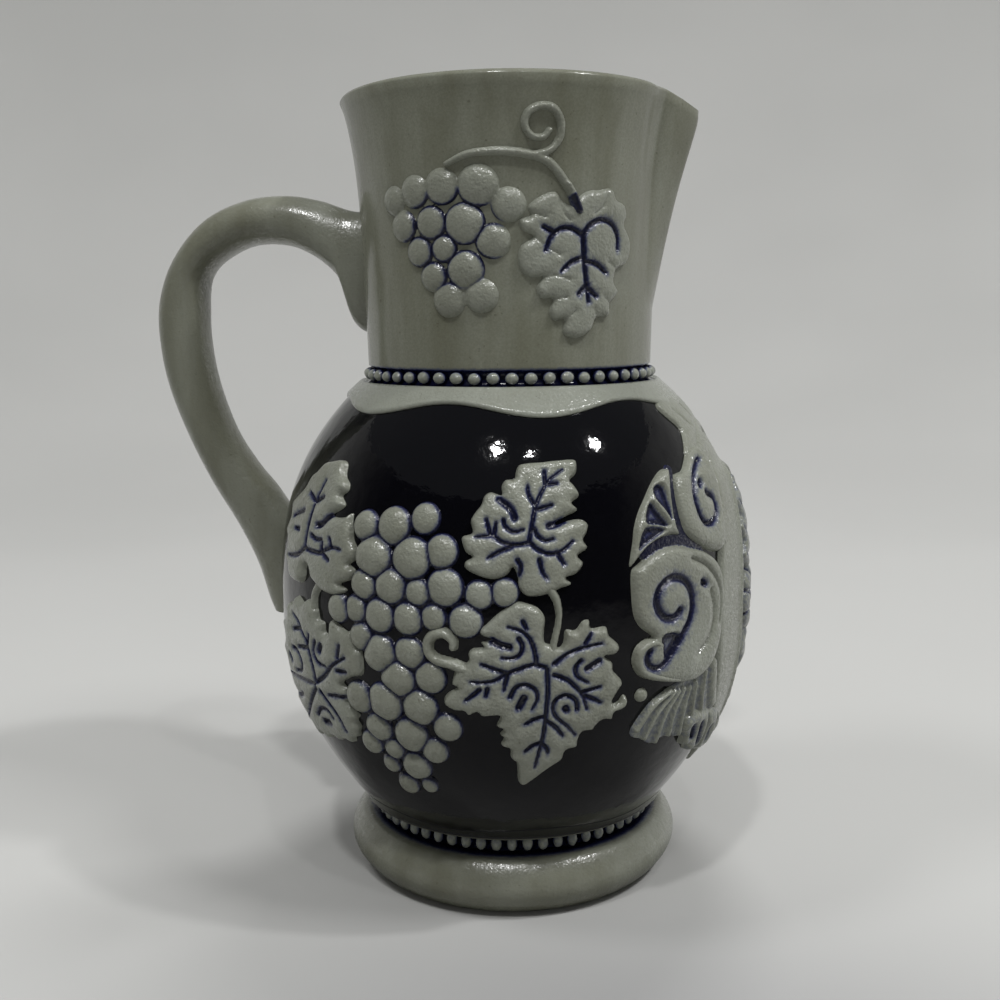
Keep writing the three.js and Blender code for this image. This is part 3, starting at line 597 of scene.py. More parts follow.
def grape_relief(field, grapes, web=0.45, share=0.52):
    """Grapes pressed against each other, with flattened tops and a painted web between them."""
    sites = np.array(grapes, float)
    power = [(field.x - gx) ** 2 + (field.y - gy) ** 2 - r ** 2 for gx, gy, r in sites]
    power = np.array(power)
    nearest = power.argmin(0)
    own = np.take_along_axis(power, nearest[None], 0)[0]
    radius = sites[nearest, 2]
    reach = np.hypot(field.x - sites[nearest, 0], field.y - sites[nearest, 1])
    crowding = np.exp(-(radius * 1.08 - reach) / CORNER_ROUNDING)
    for k, (gx, gy, r) in enumerate(sites):
        apart = np.hypot(sites[nearest, 0] - gx, sites[nearest, 1] - gy)
        gap = (power[k] - own) / (2 * np.maximum(apart, 1e-6)) - 0.08
        crowding += np.where(nearest == k, 0, np.exp(-gap / CORNER_ROUNDING))
    inset = -CORNER_ROUNDING * np.log(crowding)
    high = 0.3 + share * radius
    swell = np.clip(inset / (0.9 * radius), 0, 1)
    dome = web + (high - web) * np.maximum(1 - (1 - swell) ** 2, 0) ** 0.65
    skirt_inset = np.max([r + 0.6 - np.hypot(field.x - gx, field.y - gy) for gx, gy, r in sites], 0)
    base = edge_rise(skirt_inset, web, SOFT_SLOPE)
    field.height = np.where(inset > 0, np.maximum(dome, base), base)
    field.paint = np.maximum(1 - smoothstep(-0.2, 0.25, inset), 0.2 * (1 - smoothstep(0.1, 0.8, inset)))
    return field


def nearest_line(field, lines, fade=0.0):
    """Distance from the nearest of the lines, which count as farther off towards their ends."""
    nearest = np.full(field.x.shape, 1e9)
    for line in lines:
        points = spline(line, 5)
        for k in range(0, len(points) - 1, 3):
            share = k / (len(points) - 1)
            nearest = np.minimum(nearest, field.distance(points[k:k + 4]) + fade * share ** 2)
    return nearest


def moulded(field, outline, painted=(), pits=(), plain=(), thickness=1.15, puff=0.75,
            reach=1.2, groove=0.6, width=1.0, faint=0.1):
    """A moulded plate with a puffed face, cobalt in its grooves and pits, and a few plain grooves."""
    inside = field.inside(spline(outline, 4, True))
    filled = np.minimum(nearest_line(field, painted, 0.25) / width, nearest_line(field, pits) - 0.25)
    near = np.minimum(filled, nearest_line(field, plain) + faint)
    swell = puff * (1 - np.exp(-np.maximum(near - 0.2, 0) / reach))
    swell *= 1 - np.exp(-np.maximum(inside, 0) / reach)
    cut = groove * (1 - smoothstep(0.0, 0.7, near))
    face = swell - cut * smoothstep(0.0, 0.5, inside)
    field.height = edge_rise(inside, thickness) + np.where(inside > 0, face, 0)
    core = 1 - smoothstep(0.25, 0.7, filled)
    halo = 0.33 * np.exp(-np.maximum(filled - 0.5, 0) / 0.45)
    field.paint = np.maximum(core, halo) * smoothstep(-0.3, 0.3, inside)
    return field


def recess(field, outline, level=0.35, pale=0.5):
    """Cuts a window down to a painted bed, which is paler in its middle."""
    inside = field.inside(spline(outline, 3, True))
    field.height = np.minimum(field.height, level + SOFT_SLOPE * np.maximum(-inside, 0))
    paint = smoothstep(-0.3, 0.1, inside) * (1 - pale * smoothstep(0.7, 1.3, inside))
    field.paint = np.maximum(field.paint, paint)


def bed(field, line, half_width, level=0.5):
    """Lays a thin painted bed along a line, between reliefs that stand close together."""
    away = field.distance(spline(line, 5))
    paint = 1 - smoothstep(half_width - 0.2, half_width + 0.3, away)
    field.paint = np.where(field.height < level, paint, field.paint)
    field.height = np.maximum(field.height, np.minimum(level, SOFT_SLOPE * (half_width - away)))


def ribbon_relief(field, line, half_width, height):
    """Adds a rounded cord of clay along a line; its half width may taper from end to end."""
    points = spline(line, 6)
    halves = np.interp(np.linspace(0, 1, len(points)), np.linspace(0, 1, len(half_width)), half_width)
    best = np.full(field.x.shape, -3.0)
    for a, b, wa, wb in zip(points[:-1], points[1:], halves[:-1], halves[1:]):
        span = b - a
        t = ((field.x - a[0]) * span[0] + (field.y - a[1]) * span[1]) / max(span @ span, 1e-12)
        t = np.clip(t, 0, 1)
        away = np.hypot(field.x - a[0] - t * span[0], field.y - a[1] - t * span[1])
        half = wa + (wb - wa) * t
        share = np.clip(away / half, 0, 1)
        lift = np.where(away < half, height * np.sqrt(1 - share ** 2), CORD_SLOPE * (half - away))
        best = np.maximum(best, lift)
    field.height = np.maximum(field.height, best)
    return field


def cells_without_pinches(kept):
    """Fills a cell wherever two kept cells would meet at a corner only."""
    while True:
        a, b, c, d = kept[:-1, :-1], kept[:-1, 1:], kept[1:, :-1], kept[1:, 1:]
        first = a & d & ~b & ~c
        second = b & c & ~a & ~d
        if not (first.any() or second.any()):
            return kept
        kept = kept.copy()
        kept[:-1, 1:] |= first
        kept[:-1, :-1] |= second


def lay(name, node, field, panel, side):
    """Makes the closed mesh of a sprig and lays it onto the wall of one side."""
    height = np.maximum(field.height, SUNK + 0.3)
    corner = np.max([height[:-1, :-1], height[:-1, 1:], height[1:, :-1], height[1:, 1:]], 0)
    kept = cells_without_pinches(corner > SUNK + 0.35)
    rows, columns = height.shape
    r, c = np.nonzero(kept)
    here = r * columns + c
    quads = np.stack((here, here + 1, here + columns + 1, here + columns), -1)
    used, compact = np.unique(quads, return_inverse=True)
    quads = compact.reshape(quads.shape)
    count = len(used)
    edges = np.concatenate([np.stack((quads[:, k], quads[:, (k + 1) % 4]), -1) for k in range(4)])
    keys = edges[:, 0].astype(np.int64) * count + edges[:, 1]
    back = edges[:, 1].astype(np.int64) * count + edges[:, 0]
    border = edges[~np.isin(keys, back)]
    sides = np.stack((border[:, 1], border[:, 0], border[:, 0] + count, border[:, 1] + count), -1)
    faces = np.concatenate((quads, quads[:, ::-1] + count, sides))
    if side == LEFT:
        faces = faces[:, ::-1]
    around, radius, level = panel
    x, y = field.x.ravel()[used], field.y.ravel()[used]
    azimuth = side * (around - x) / radius
    top = wall_points(azimuth, level + y, height.ravel()[used])
    bottom = wall_points(azimuth, level + y, np.full(count, SUNK))
    paint = np.tile(field.paint.ravel()[used], 2)
    piece = new_piece(name, np.concatenate((top, bottom)), faces, RELIEF_GLAZE, {"paint": paint})
    place(piece, "relief_glaze", node)


def both_sides(name, node, field, panel):
    for side, prefix in ((RIGHT, "right_"), (LEFT, "left_")):
        lay(prefix + name, prefix + node, field, panel, side)


def box_of(points, margin=1.6):
    p = np.array([point[:2] for point in points], float)
    return p.min(0) - margin, p.max(0) + margin


# Side vine on the belly: across towards the spout, up the wall, radius

SIDE_GRAPES = [
    (-8.8, 23.8, 2.9), (-1.6, 24.3, 3.6), (5.6, 26.2, 2.9),
    (-5.9, 17.7, 4.1), (3.2, 18.1, 4.0), (9.7, 19.8, 3.1),
    (-8.0, 11.8, 2.9), (-1.4, 12.1, 3.4), (4.8, 11.4, 2.5),
    (10.6, 12.7, 3.5), (17.6, 11.5, 2.6), (22.6, 12.0, 2.5),
    (-15.0, 5.9, 2.8), (-10.0, 6.5, 2.6), (-3.9, 5.9, 3.3),
    (2.7, 5.9, 3.1), (8.2, 6.6, 2.4), (14.8, 6.2, 3.1),
    (-8.6, 0.9, 2.7), (-4.0, -2.0, 3.7), (2.9, -1.2, 3.1),
    (0.1, -6.9, 3.7), (7.3, -5.9, 3.1),
    (-10.4, -12.7, 3.3), (-3.6, -12.6, 4.0), (4.6, -12.7, 3.7),
    (-6.4, -19.1, 3.2), (1.7, -19.6, 3.8), (10.3, -16.8, 2.9),
    (-9.6, -23.5, 2.7), (-3.6, -24.0, 2.4), (6.7, -22.8, 2.9),
    (-5.7, -28.5, 2.1), (1.3, -27.7, 3.4),
    (-2.7, -33.8, 2.6), (3.3, -33.2, 1.9),
]

UPPER_FRONT_LEAF = [
    (31.9, 11.8), (33.8, 12.6), (36, 13.3), (34.8, 14.6), (37, 15.3), (38.6, 17.2), (37.5, 18.8),
    (39.7, 20.2), (38.9, 21.8), (39.9, 23.4), (40.2, 25), (38.6, 26), (36, 25.8), (33.8, 25.1), (33.2, 25.6),
    (35.8, 26.8), (38.3, 27.9), (37.2, 29.4), (39.1, 30.8), (38.2, 32.9), (37.4, 34.1), (39.2, 35.6),
    (39.4, 38.3), (35, 38.4), (31, 38.1), (28.4, 38), (26, 37.6), (25.2, 36.2), (24.8, 34.7),
    (22.7, 34.4), (21.9, 32.9), (22, 31.3),
    (19.6, 31.9), (18.2, 31.1), (17.6, 29.3), (16.4, 27.8), (15.5, 26), (16, 23.7), (13.9, 22.9), (14, 21.4),
    (14.8, 19.8), (16.1, 18.9), (14.7, 18), (14.7, 16.7), (16.6, 15.6), (19, 14.8), (21.2, 14.7),
    (23.2, 15.6), (24.3, 17), (25.2, 15.2), (25.4, 13), (26.8, 11.4), (29.2, 11.2),
]
UPPER_FRONT_VEINS = [
    [(27.5, 21.7), (28.1, 24.5), (28.8, 27.6), (29.5, 29.6), (30.8, 31.8), (32.3, 33.8), (35.6, 35.9)],
    [(28.8, 29.2), (27.8, 31), (27.6, 32.8)],
    [(29.6, 28.1), (32.6, 28.9)],
    [(31.5, 33), (31.5, 35.7)],
    [(32.2, 33.1), (34, 33.2)],
    [(27.4, 21.6), (24.5, 21.3), (22, 21.9), (20.4, 23), (16.7, 22.8)],
    [(20.5, 23.2), (20.9, 25.5)],
    [(19.8, 23.4), (18.9, 26.2)],
    [(24, 20.9), (21.6, 20), (19.3, 18.7)],
    [(27.8, 21.6), (29.4, 20.2), (31.8, 19.4), (34.2, 20), (36.4, 21.7)],
    [(33, 19.6), (34.4, 17.3)],
    [(29.5, 18.4), (29.9, 16.4), (30.9, 14.6)],
    [(22.4, 26.1), (22.9, 24.7), (24.5, 23.8), (26.4, 24.2)],
    [(28.6, 24.3), (29.3, 22.9), (30.8, 22), (32.4, 22.3)],
    [(25.2, 18.4), (25.9, 17), (25.4, 15.4)],
]
UPPER_FRONT_EYES = [
    [(24.7, 26.5), (24.3, 27.7), (23.2, 28.9), (21.5, 30.2)],
    [(31.7, 24.8), (33, 25.1), (35, 25.9)],
]

LOWER_FRONT_LEAF = [
    (33.3, 0.7), (34.2, 1.8), (34.6, 4.2), (36.6, 4), (38.1, 5.7), (39.5, 5.8), (39.9, 4.1), (43, 4.2),
    (43.8, 2.2), (46, 0), (45.1, -1.7), (42.7, -1.9), (44.5, -3.4), (44.8, -5.2), (46.9, -7.7), (46, -9.5),
    (44.9, -11.4), (45.3, -12.5), (46.5, -12), (47.4, -10.8), (48.4, -11.7), (48.2, -13.2), (46.8, -14),
    (45.5, -14.3), (45.1, -15.8), (42.8, -15.7), (41.4, -17), (41, -17.8), (38.8, -17.9), (38, -19.7),
    (37.8, -21.4), (35.5, -22.1), (34.8, -24.3), (32.6, -26), (30.3, -28), (28.1, -30), (26.6, -31),
    (25.2, -30.3), (25, -27.4), (24.7, -24.8), (23.5, -23.6), (23.4, -21.3), (21.5, -20.4), (22.2, -18.6),
    (21.3, -17.8), (22.1, -16.6), (20.7, -15.8), (21.4, -13.5), (17.9, -13.7), (16.8, -12.8), (15, -13.6),
    (14.1, -12.7), (12.1, -12.6), (10.1, -11.4), (10.1, -9.9), (11.3, -8.6), (12.9, -7.6), (11.8, -6.9),
    (12.2, -5), (12.9, -3.2), (14.4, -2.6), (15.4, -1.8), (15.3, -0.4), (16.2, 0.7), (18.4, 1), (17.9, 2),
    (20.2, 2.6), (18.2, 3.3), (17.6, 4.4), (19, 5.7), (21, 7.6), (23.3, 9.3), (25, 10.2), (27, 9.8),
    (29.2, 8.8), (30.5, 6.8), (30.3, 4.2), (30.4, 1.9), (31.6, 1.4),
]
LOWER_FRONT_VEINS = [
    [(30.8, -3.4), (30.9, -8), (30.7, -12), (30.3, -17), (29.6, -21), (28.7, -25.6)],
    [(30.4, -13.4), (28.5, -13.8), (26.5, -14.9)],
    [(30.7, -14.3), (32.6, -15.8), (34.3, -18)],
    [(30, -19.3), (28, -20), (26.5, -21.4)],
    [(30.2, -19.8), (31.1, -20.8), (31.4, -22)],
    [(30.4, -2.9), (28, -2.4), (25, -3.3), (22.7, -4.2), (20.6, -5.5), (17.8, -6), (15.9, -5.9)],
    [(22.7, -3.9), (20.5, -3.2), (18, -2.2)],
    [(23, -4.5), (22.6, -6), (22.3, -7.6)],
    [(17.5, -7.5), (16, -8.9), (14.7, -9.9)],
    [(19.1, -7.3), (18.7, -8.8)],
    [(28.7, -2.2), (28.3, 0.4), (27.4, 2.9), (25.6, 4.6), (23.2, 5.4)],
    [(26.1, 6.4), (26.8, 4.9)],
    [(32.1, -2.4), (34, -1), (36.5, 0.2), (39.5, 0.8), (41.8, 1.1)],
    [(38.4, 1.4), (39.6, 3.2)],
    [(32.1, -4.6), (34.5, -5.6), (36.5, -7.4), (38, -9.4), (39, -12.3)],
    [(37.7, -8.6), (39.5, -8.3), (41.7, -7.8)],
    [(38.6, -9.5), (40.5, -10.4), (42, -11.3)],
    [(25.3, 3), (26, 1.3), (25.3, -0.4), (23.6, -1), (22, -0.8)],
    [(23.5, -9), (24.6, -7), (26.4, -6.4), (28.4, -7.4), (28.9, -9.4), (27.8, -11.7)],
    [(37.5, -2), (36.4, -3.4), (36.8, -5.2), (38.9, -6.6)],
    [(37, -12.3), (36.6, -10.2), (34.6, -9), (32.6, -9.8), (32, -11.6), (32.8, -13.7), (35, -15.7),
     (36.9, -18)],
]
LOWER_FRONT_EYES = [
    [(20.2, 2.5), (21.6, 1.8), (23.4, 1.3)],
    [(26.2, -9.2), (25.2, -11.3)],
    [(41.3, -2.5), (38.9, -3.8)],
    [(34.6, -11.8), (34.8, -12.2)],
]

UPPER_BACK_LEAF = [
    (-22.5, 36.8), (-20.4, 36.1), (-19.5, 34), (-18.6, 33), (-17, 31.8), (-16.8, 30.3), (-18.2, 29.1),
    (-16.4, 27.4), (-17.6, 26.2), (-19.8, 25), (-18.2, 24.5), (-15, 25), (-13.4, 25.9), (-13, 24.1),
    (-12.3, 22.2), (-11.8, 20.5), (-10.3, 18.4), (-10.8, 16.5), (-12.2, 15.4), (-10.5, 14.3), (-11.4, 12.4),
    (-14.8, 11), (-12.7, 10), (-14.6, 8.8), (-17.2, 8.3), (-20.4, 8.7), (-22.6, 9.8), (-24.4, 10.8),
    (-25.4, 12.6), (-26.7, 13.4), (-27.8, 12.6), (-28, 10.3), (-29.4, 8.8), (-32, 8.6), (-34.6, 9.2),
    (-36.4, 11.6), (-38.2, 13.6), (-37.4, 16.6), (-39.4, 19), (-38.2, 22), (-39, 25.4), (-36, 27.7),
    (-33.8, 29.4), (-32.4, 32.2), (-30.4, 33.6), (-28.4, 35.6), (-26, 36.2),
]
UPPER_BACK_VEINS = [
    [(-27, 16.8), (-27, 20), (-26.6, 24), (-26, 27), (-24.5, 31.6)],
    [(-26.5, 26.9), (-29.8, 28.3)],
    [(-26, 26.8), (-23.3, 28.1)],
    [(-27.3, 16.7), (-30, 15), (-33, 14.3), (-35.4, 14)],
    [(-27, 16.8), (-24, 16.5), (-21, 16.6), (-19.4, 17.4), (-17, 18.2), (-14.4, 18.1)],
    [(-20.2, 16.7), (-17.9, 15.5)],
    [(-20.6, 16.9), (-20.5, 18.7)],
    [(-17.5, 18.4), (-18.3, 20)],
    [(-25.1, 19.8), (-23, 19.2), (-20.9, 19.4)],
    [(-30.4, 24.4), (-33, 23.6), (-35.8, 22.4)],
    [(-31, 20.2), (-33.4, 20.2)],
]
UPPER_BACK_EYES = [
    [(-23.4, 22.1), (-21.6, 22.6), (-19.8, 24.4)],
]

LOWER_BACK_LEAF = [
    (-24.4, 5.6), (-22.5, 4.2), (-21.9, 2.2), (-20.1, 1.8), (-19.8, -0.2), (-18.3, -0.1), (-17.5, 2.9),
    (-15.5, 2.4), (-12.8, 1.2), (-11.4, 1.5), (-10, -1.7), (-8.9, -2.4), (-8.6, -5), (-9.1, -7.6),
    (-12, -8.6), (-15.2, -10.4), (-13.9, -11.6), (-13.9, -13.2), (-14.9, -14.4), (-13.2, -16.3),
    (-11.7, -17.4),
    (-12.8, -18.8), (-12.2, -20.3), (-13, -21.8), (-13.3, -23), (-15.3, -23.7), (-16, -25.3), (-18.6, -24.9),
    (-20.8, -26), (-23.6, -25.4), (-26.4, -27.2), (-29, -26.2), (-31.4, -27.8), (-33.4, -25.4), (-36.4, -25),
    (-36.8, -22), (-39.6, -20), (-38.6, -17), (-41.4, -14), (-39.6, -11), (-41, -7.6), (-39, -4.6),
    (-40, -1.4), (-37.2, 0.4), (-36.4, 3.2), (-33.4, 3.4), (-31.4, 5.6), (-28.4, 4.6), (-26.4, 5.8),
]
LOWER_BACK_VEINS = [
    [(-24, -12), (-24.2, -9), (-25.2, -5.4), (-26.1, -3.4), (-28, -1.5), (-29.4, 0.3), (-32.2, 1.5)],
    [(-28.6, -1), (-32.4, -1.9)],
    [(-25.7, -4.7), (-30.2, -5.4)],
    [(-25.8, -4.2), (-25, -1.7)],
    [(-23.4, -11.8), (-20, -9.6), (-17, -6.7), (-13, -4.3)],
    [(-15.2, -4.6), (-14.4, -1.9)],
    [(-15.7, -7.6), (-13, -7.4)],
    [(-23, -13.7), (-20.4, -16), (-18, -18.6), (-16.6, -22)],
    [(-24.5, -13.5), (-28, -17), (-31, -20), (-34.6, -23.2)],
    [(-24.8, -12.6), (-30, -12.9), (-36, -13.4), (-39.6, -13.8)],
    [(-14.4, -13.4), (-17, -13.6), (-19.9, -14)],
    [(-22.6, -2.6), (-23.4, -4.8), (-22, -7), (-19.3, -7.5)],
    [(-33.6, -6.4), (-31, -6.6), (-29.4, -8.6), (-30.2, -10.8), (-33, -11.5)],
    [(-27, -20.4), (-24.6, -18.4), (-21.8, -18), (-20.2, -19.6)],
    [(-32.6, -17), (-35.4, -18.2), (-37.4, -18.2)],
]
LOWER_BACK_EYES = [
    [(-20.6, -3.2), (-21.2, -4.4)],
    [(-36.4, -8.8), (-35.4, -9.6)],
    [(-24.8, -21.6), (-22.2, -21.3)],
]


def side_vine():
    field = Field(*box_of(SIDE_GRAPES, 5))
    both_sides("vine_grapes", "grape_bunch", grape_relief(field, SIDE_GRAPES), SIDE_PANEL)
    for name, outline, veins, eyes in (
            ("upper_front_leaf", UPPER_FRONT_LEAF, UPPER_FRONT_VEINS, UPPER_FRONT_EYES),
            ("lower_front_leaf", LOWER_FRONT_LEAF, LOWER_FRONT_VEINS, LOWER_FRONT_EYES),
            ("upper_back_leaf", UPPER_BACK_LEAF, UPPER_BACK_VEINS, UPPER_BACK_EYES),
            ("lower_back_leaf", LOWER_BACK_LEAF, LOWER_BACK_VEINS, LOWER_BACK_EYES)):
        both_sides("vine_" + name, name, moulded(Field(*box_of(outline)), outline, veins, eyes), SIDE_PANEL)
    stem = [(31.6, 12.6), (32.8, 10.4), (33.3, 8), (33.2, 5.6), (32.6, 3), (31.9, 0)]
    field = ribbon_relief(Field(*box_of(stem)), stem, [0.9, 0.6, 0.7], 1.3)
    both_sides("vine_front_stem", "front_stem", field, SIDE_PANEL)
    stem = [(-21, 10.5), (-23, 8), (-23.6, 5.6), (-23.4, 3)]
    field = ribbon_relief(Field(*box_of(stem)), stem, [0.9, 0.8, 0.9], 1.2)
    both_sides("vine_back_stem", "back_stem", field, SIDE_PANEL)
    curl = [(14.6, -3.6), (11.8, -2.6), (9, -2), (7.3, -0.6), (7.1, 1.6), (8.5, 3.2), (10.6, 3.5),
            (12.2, 2.2), (12.3, 0.9)]
    field = ribbon_relief(Field(*box_of(curl, 2.4)), curl, [1.2, 1.1, 1.15, 0.9], 1.7)
    both_sides("vine_tendril", "tendril", field, SIDE_PANEL)


side_vine()


# Neck vine

NECK_GRAPES = [
    (-25.9, 37.8, 2.5), (-20.1, 39.2, 2.9), (-13.7, 39.9, 3.2), (-6.2, 39.9, 3.7), (-0.2, 36, 3),
    (-23.4, 32.4, 2.8), (-16.4, 32.8, 3), (-9.1, 32.4, 3.8), (-3.4, 28.8, 3.1),
    (-19.4, 27, 2.7), (-13.6, 27.5, 2.4), (-9.1, 23.1, 3.5),
    (-16.2, 21.8, 2.6), (-12.8, 17, 3.1), (-5.9, 17.8, 3),
]
NECK_LEAF = [
    (3.6, 35.6), (6, 37.6), (9, 38.6), (10.6, 36.8), (12.6, 36), (14.6, 38), (16.6, 39), (19, 39.2),
    (22, 39.6), (23.2, 37.6), (25.6, 36.6), (26.4, 34.2), (25.8, 32.4), (27.6, 29.8), (28, 27),
    (26.8, 24.4), (24, 23),
    (23.2, 20.6), (24.6, 18.4), (22.4, 16), (22, 13.4), (18.8, 13), (17.4, 10.4), (14, 8.8), (11, 10),
    (11.4, 12.8), (9, 12.6), (8, 14.6), (8.9, 17), (6.2, 17.2), (5.4, 19.4), (6.8, 21.6), (4.4, 21.4),
    (2.2, 22.8), (1.6, 25.6), (2.4, 28), (4.8, 29.6), (2.4, 31), (2, 33), (4.2, 33.8),
]
NECK_FOLDS = [
    [(4.8, 29.6), (7.6, 27.4), (10, 26)], [(6.8, 21.6), (9.6, 21.8), (12, 21)], [(8.9, 17), (11.4, 17.4)],
    [(11.4, 12.8), (13.4, 14.6)], [(24, 23), (21.2, 24.6)],
    [(22.4, 16), (20, 17.6)], [(18.8, 13), (17.8, 15)],
    [(9.8, 37), (10.6, 34.6), (12, 33)], [(20.6, 38.6), (19.4, 36), (17.4, 34.4)], [(4.2, 34.4), (7, 33.6)],
]
NECK_VEINS = [
    [(14.9, 30.4), (15.1, 27), (15.6, 22), (16.4, 16.4)],
    [(14.9, 29.8), (12.6, 31.2), (10, 31.2), (8, 29.4), (7, 26.8)],
    [(8.8, 30.4), (6.6, 31.6)],
    [(14.9, 29.8), (16.4, 32), (19, 33.2), (21.8, 32.4), (23.4, 30), (23.6, 27.2)],
    [(15.3, 25.4), (12.6, 24.6), (10.4, 22.6)],
    [(15.5, 24.6), (18, 24.2), (20.6, 22.4)],
    [(16, 20), (14.2, 18)],
    [(16.1, 19.2), (18.2, 17.6)],
]


def neck_vine():
    field = grape_relief(Field(*box_of(NECK_GRAPES, 5)), NECK_GRAPES, 0.4, 0.42)
    inner = np.hypot((field.x + 12.5) / 12.5, (field.y - 29.5) / 11.5)
    field.paint = field.paint * (1 - smoothstep(0.75, 1.0, inner))
    both_sides("neck_vine_grapes", "neck_bunch", field, NECK_PANEL)
    leaf = moulded(Field(*box_of(NECK_LEAF)), NECK_LEAF, NECK_VEINS, plain=NECK_FOLDS,
                   thickness=1.0, puff=0.7, groove=0.6, width=1.3, faint=0.38)
    both_sides("neck_vine_leaf", "neck_leaf", leaf, NECK_PANEL)
    stem = [(-12.3, 44.4), (-8, 46.1), (-2.3, 46.5), (3, 46), (7.4, 44.6), (10.6, 41.2), (13, 37.4),
            (14.5, 34.2)]
    curl = [(4.6, 45.8), (7.6, 46.6), (9.6, 49), (9.8, 52), (8.4, 54.6), (6, 55.2), (3.6, 54), (2.9, 51.6),
            (4.2, 49.4), (6.4, 49.2), (7.6, 50.6)]
    field = Field(*box_of(stem + curl))
    ribbon_relief(field, stem, [0.6, 0.9, 0.9, 0.8], 1.2)
    ribbon_relief(field, curl, [0.7, 0.8, 0.75, 0.6], 1.2)
    tip = [(11.4, 40.2), (12.8, 37.6), (13.8, 35)]
    ribbon_relief(field, tip, [0.7, 1.1], 2.2)
    field.paint = 1 - smoothstep(0.5, 1.3, field.distance(np.array(tip[1:])))
    both_sides("neck_vine_stem", "neck_vine", field, NECK_PANEL)


neck_vine()


# Front medallion: an oval band round a field with a flower and two leaf sprays, and its surround

BAND_HALF = (25.6, 40.5)
FIELD_HALF = (11.8, 31.4)
BAND_HEIGHT = 1.2
FIELD_HEIGHT = 0.6

SPRAY = [
    (0, 6), (4, 8.5), (7.5, 11), (5.2, 14), (7.6, 17.5), (4.8, 19.5), (5.4, 23.5), (2.6, 25.5), (0, 29.3),
    (-2.6, 25.5), (-5.4, 23.5), (-4.8, 19.5), (-7.6, 17.5), (-5.2, 14), (-7.5, 11), (-4, 8.5),
]
SPRAY_VEINS = [
    [(0, 7), (0, 14), (0, 21), (0, 26.5)],
    [(0, 9.5), (2.8, 10.4), (5.6, 11.2)], [(0, 9.5), (-2.8, 10.4), (-5.6, 11.2)],
    [(0, 14.5), (2.8, 15.8), (5.8, 17.4)], [(0, 14.5), (-2.8, 15.8), (-5.8, 17.4)],
    [(0, 20), (2, 21.4), (4, 23)], [(0, 20), (-2, 21.4), (-4, 23)],
]
CREST = [
    (-26, 36.4), (-24, 39.5), (-21.6, 42.3), (-21.8, 44.2), (-24, 46.5), (-25.6, 49.6), (-20, 51.4),
    (-10, 52), (0, 52), (10, 52), (20, 51.4), (25.6, 49.6), (24, 46.5), (21.8, 44.2), (21.6, 42.3),
    (24, 39.5), (26, 36.4), (17, 33.6), (12, 36), (6, 39.9), (0, 41.4), (-6, 39.9), (-12, 36), (-17, 33.6),
]
PENDANT = [
    (0, -36.6), (4, -35.8), (8, -34.4), (11, -35), (11.4, -37.4), (10, -39.2), (8.6, -41), (5, -41.6),
    (0, -43.2), (-5, -41.6), (-8.6, -41), (-10, -39.2), (-11.4, -37.4), (-11, -35), (-8, -34.4), (-4, -35.8),
]


def oval_inset(field, half):
    """Distance inside an oval, near its edge."""
    along, up = field.x / half[0], field.y / half[1]
    reach = np.maximum(np.hypot(along, up), 1e-6)
    return (1 - reach) * reach / np.hypot(along / half[0], up / half[1])


def flower(field, radius=8.3, petals=8):
    reach, turn = np.hypot(field.x, field.y), np.arctan2(field.y, field.x)
    lobe = np.abs(np.cos(petals / 2 * turn))
    inset = radius * (0.84 + 0.16 * lobe ** 0.5) - reach
    between = reach * np.abs(np.arcsin(np.minimum(lobe, 1))) / (petals / 2)
    petal = edge_rise(inset, 1.1) + np.where(inset > 0, 0.7 * np.exp(-((reach - 5.4) / 2) ** 2), 0)
    petal -= np.where(inset > 0, 0.8 * (1 - smoothstep(0.1, 0.8, between)), 0)
    button = edge_rise(2.7 - reach, 1.1) + np.where(reach < 2.7, 0.8 * (1 - (reach / 2.7) ** 2), 0)
    field.height = np.where(reach < 3.2, np.maximum(np.minimum(petal, 0.4), button), petal)
    field.paint = np.where(inset > 0, np.maximum(1 - smoothstep(0.2, 0.6, between),
                                                 1 - smoothstep(0.15, 0.5, np.abs(reach - 3.0))), 0)
    return field


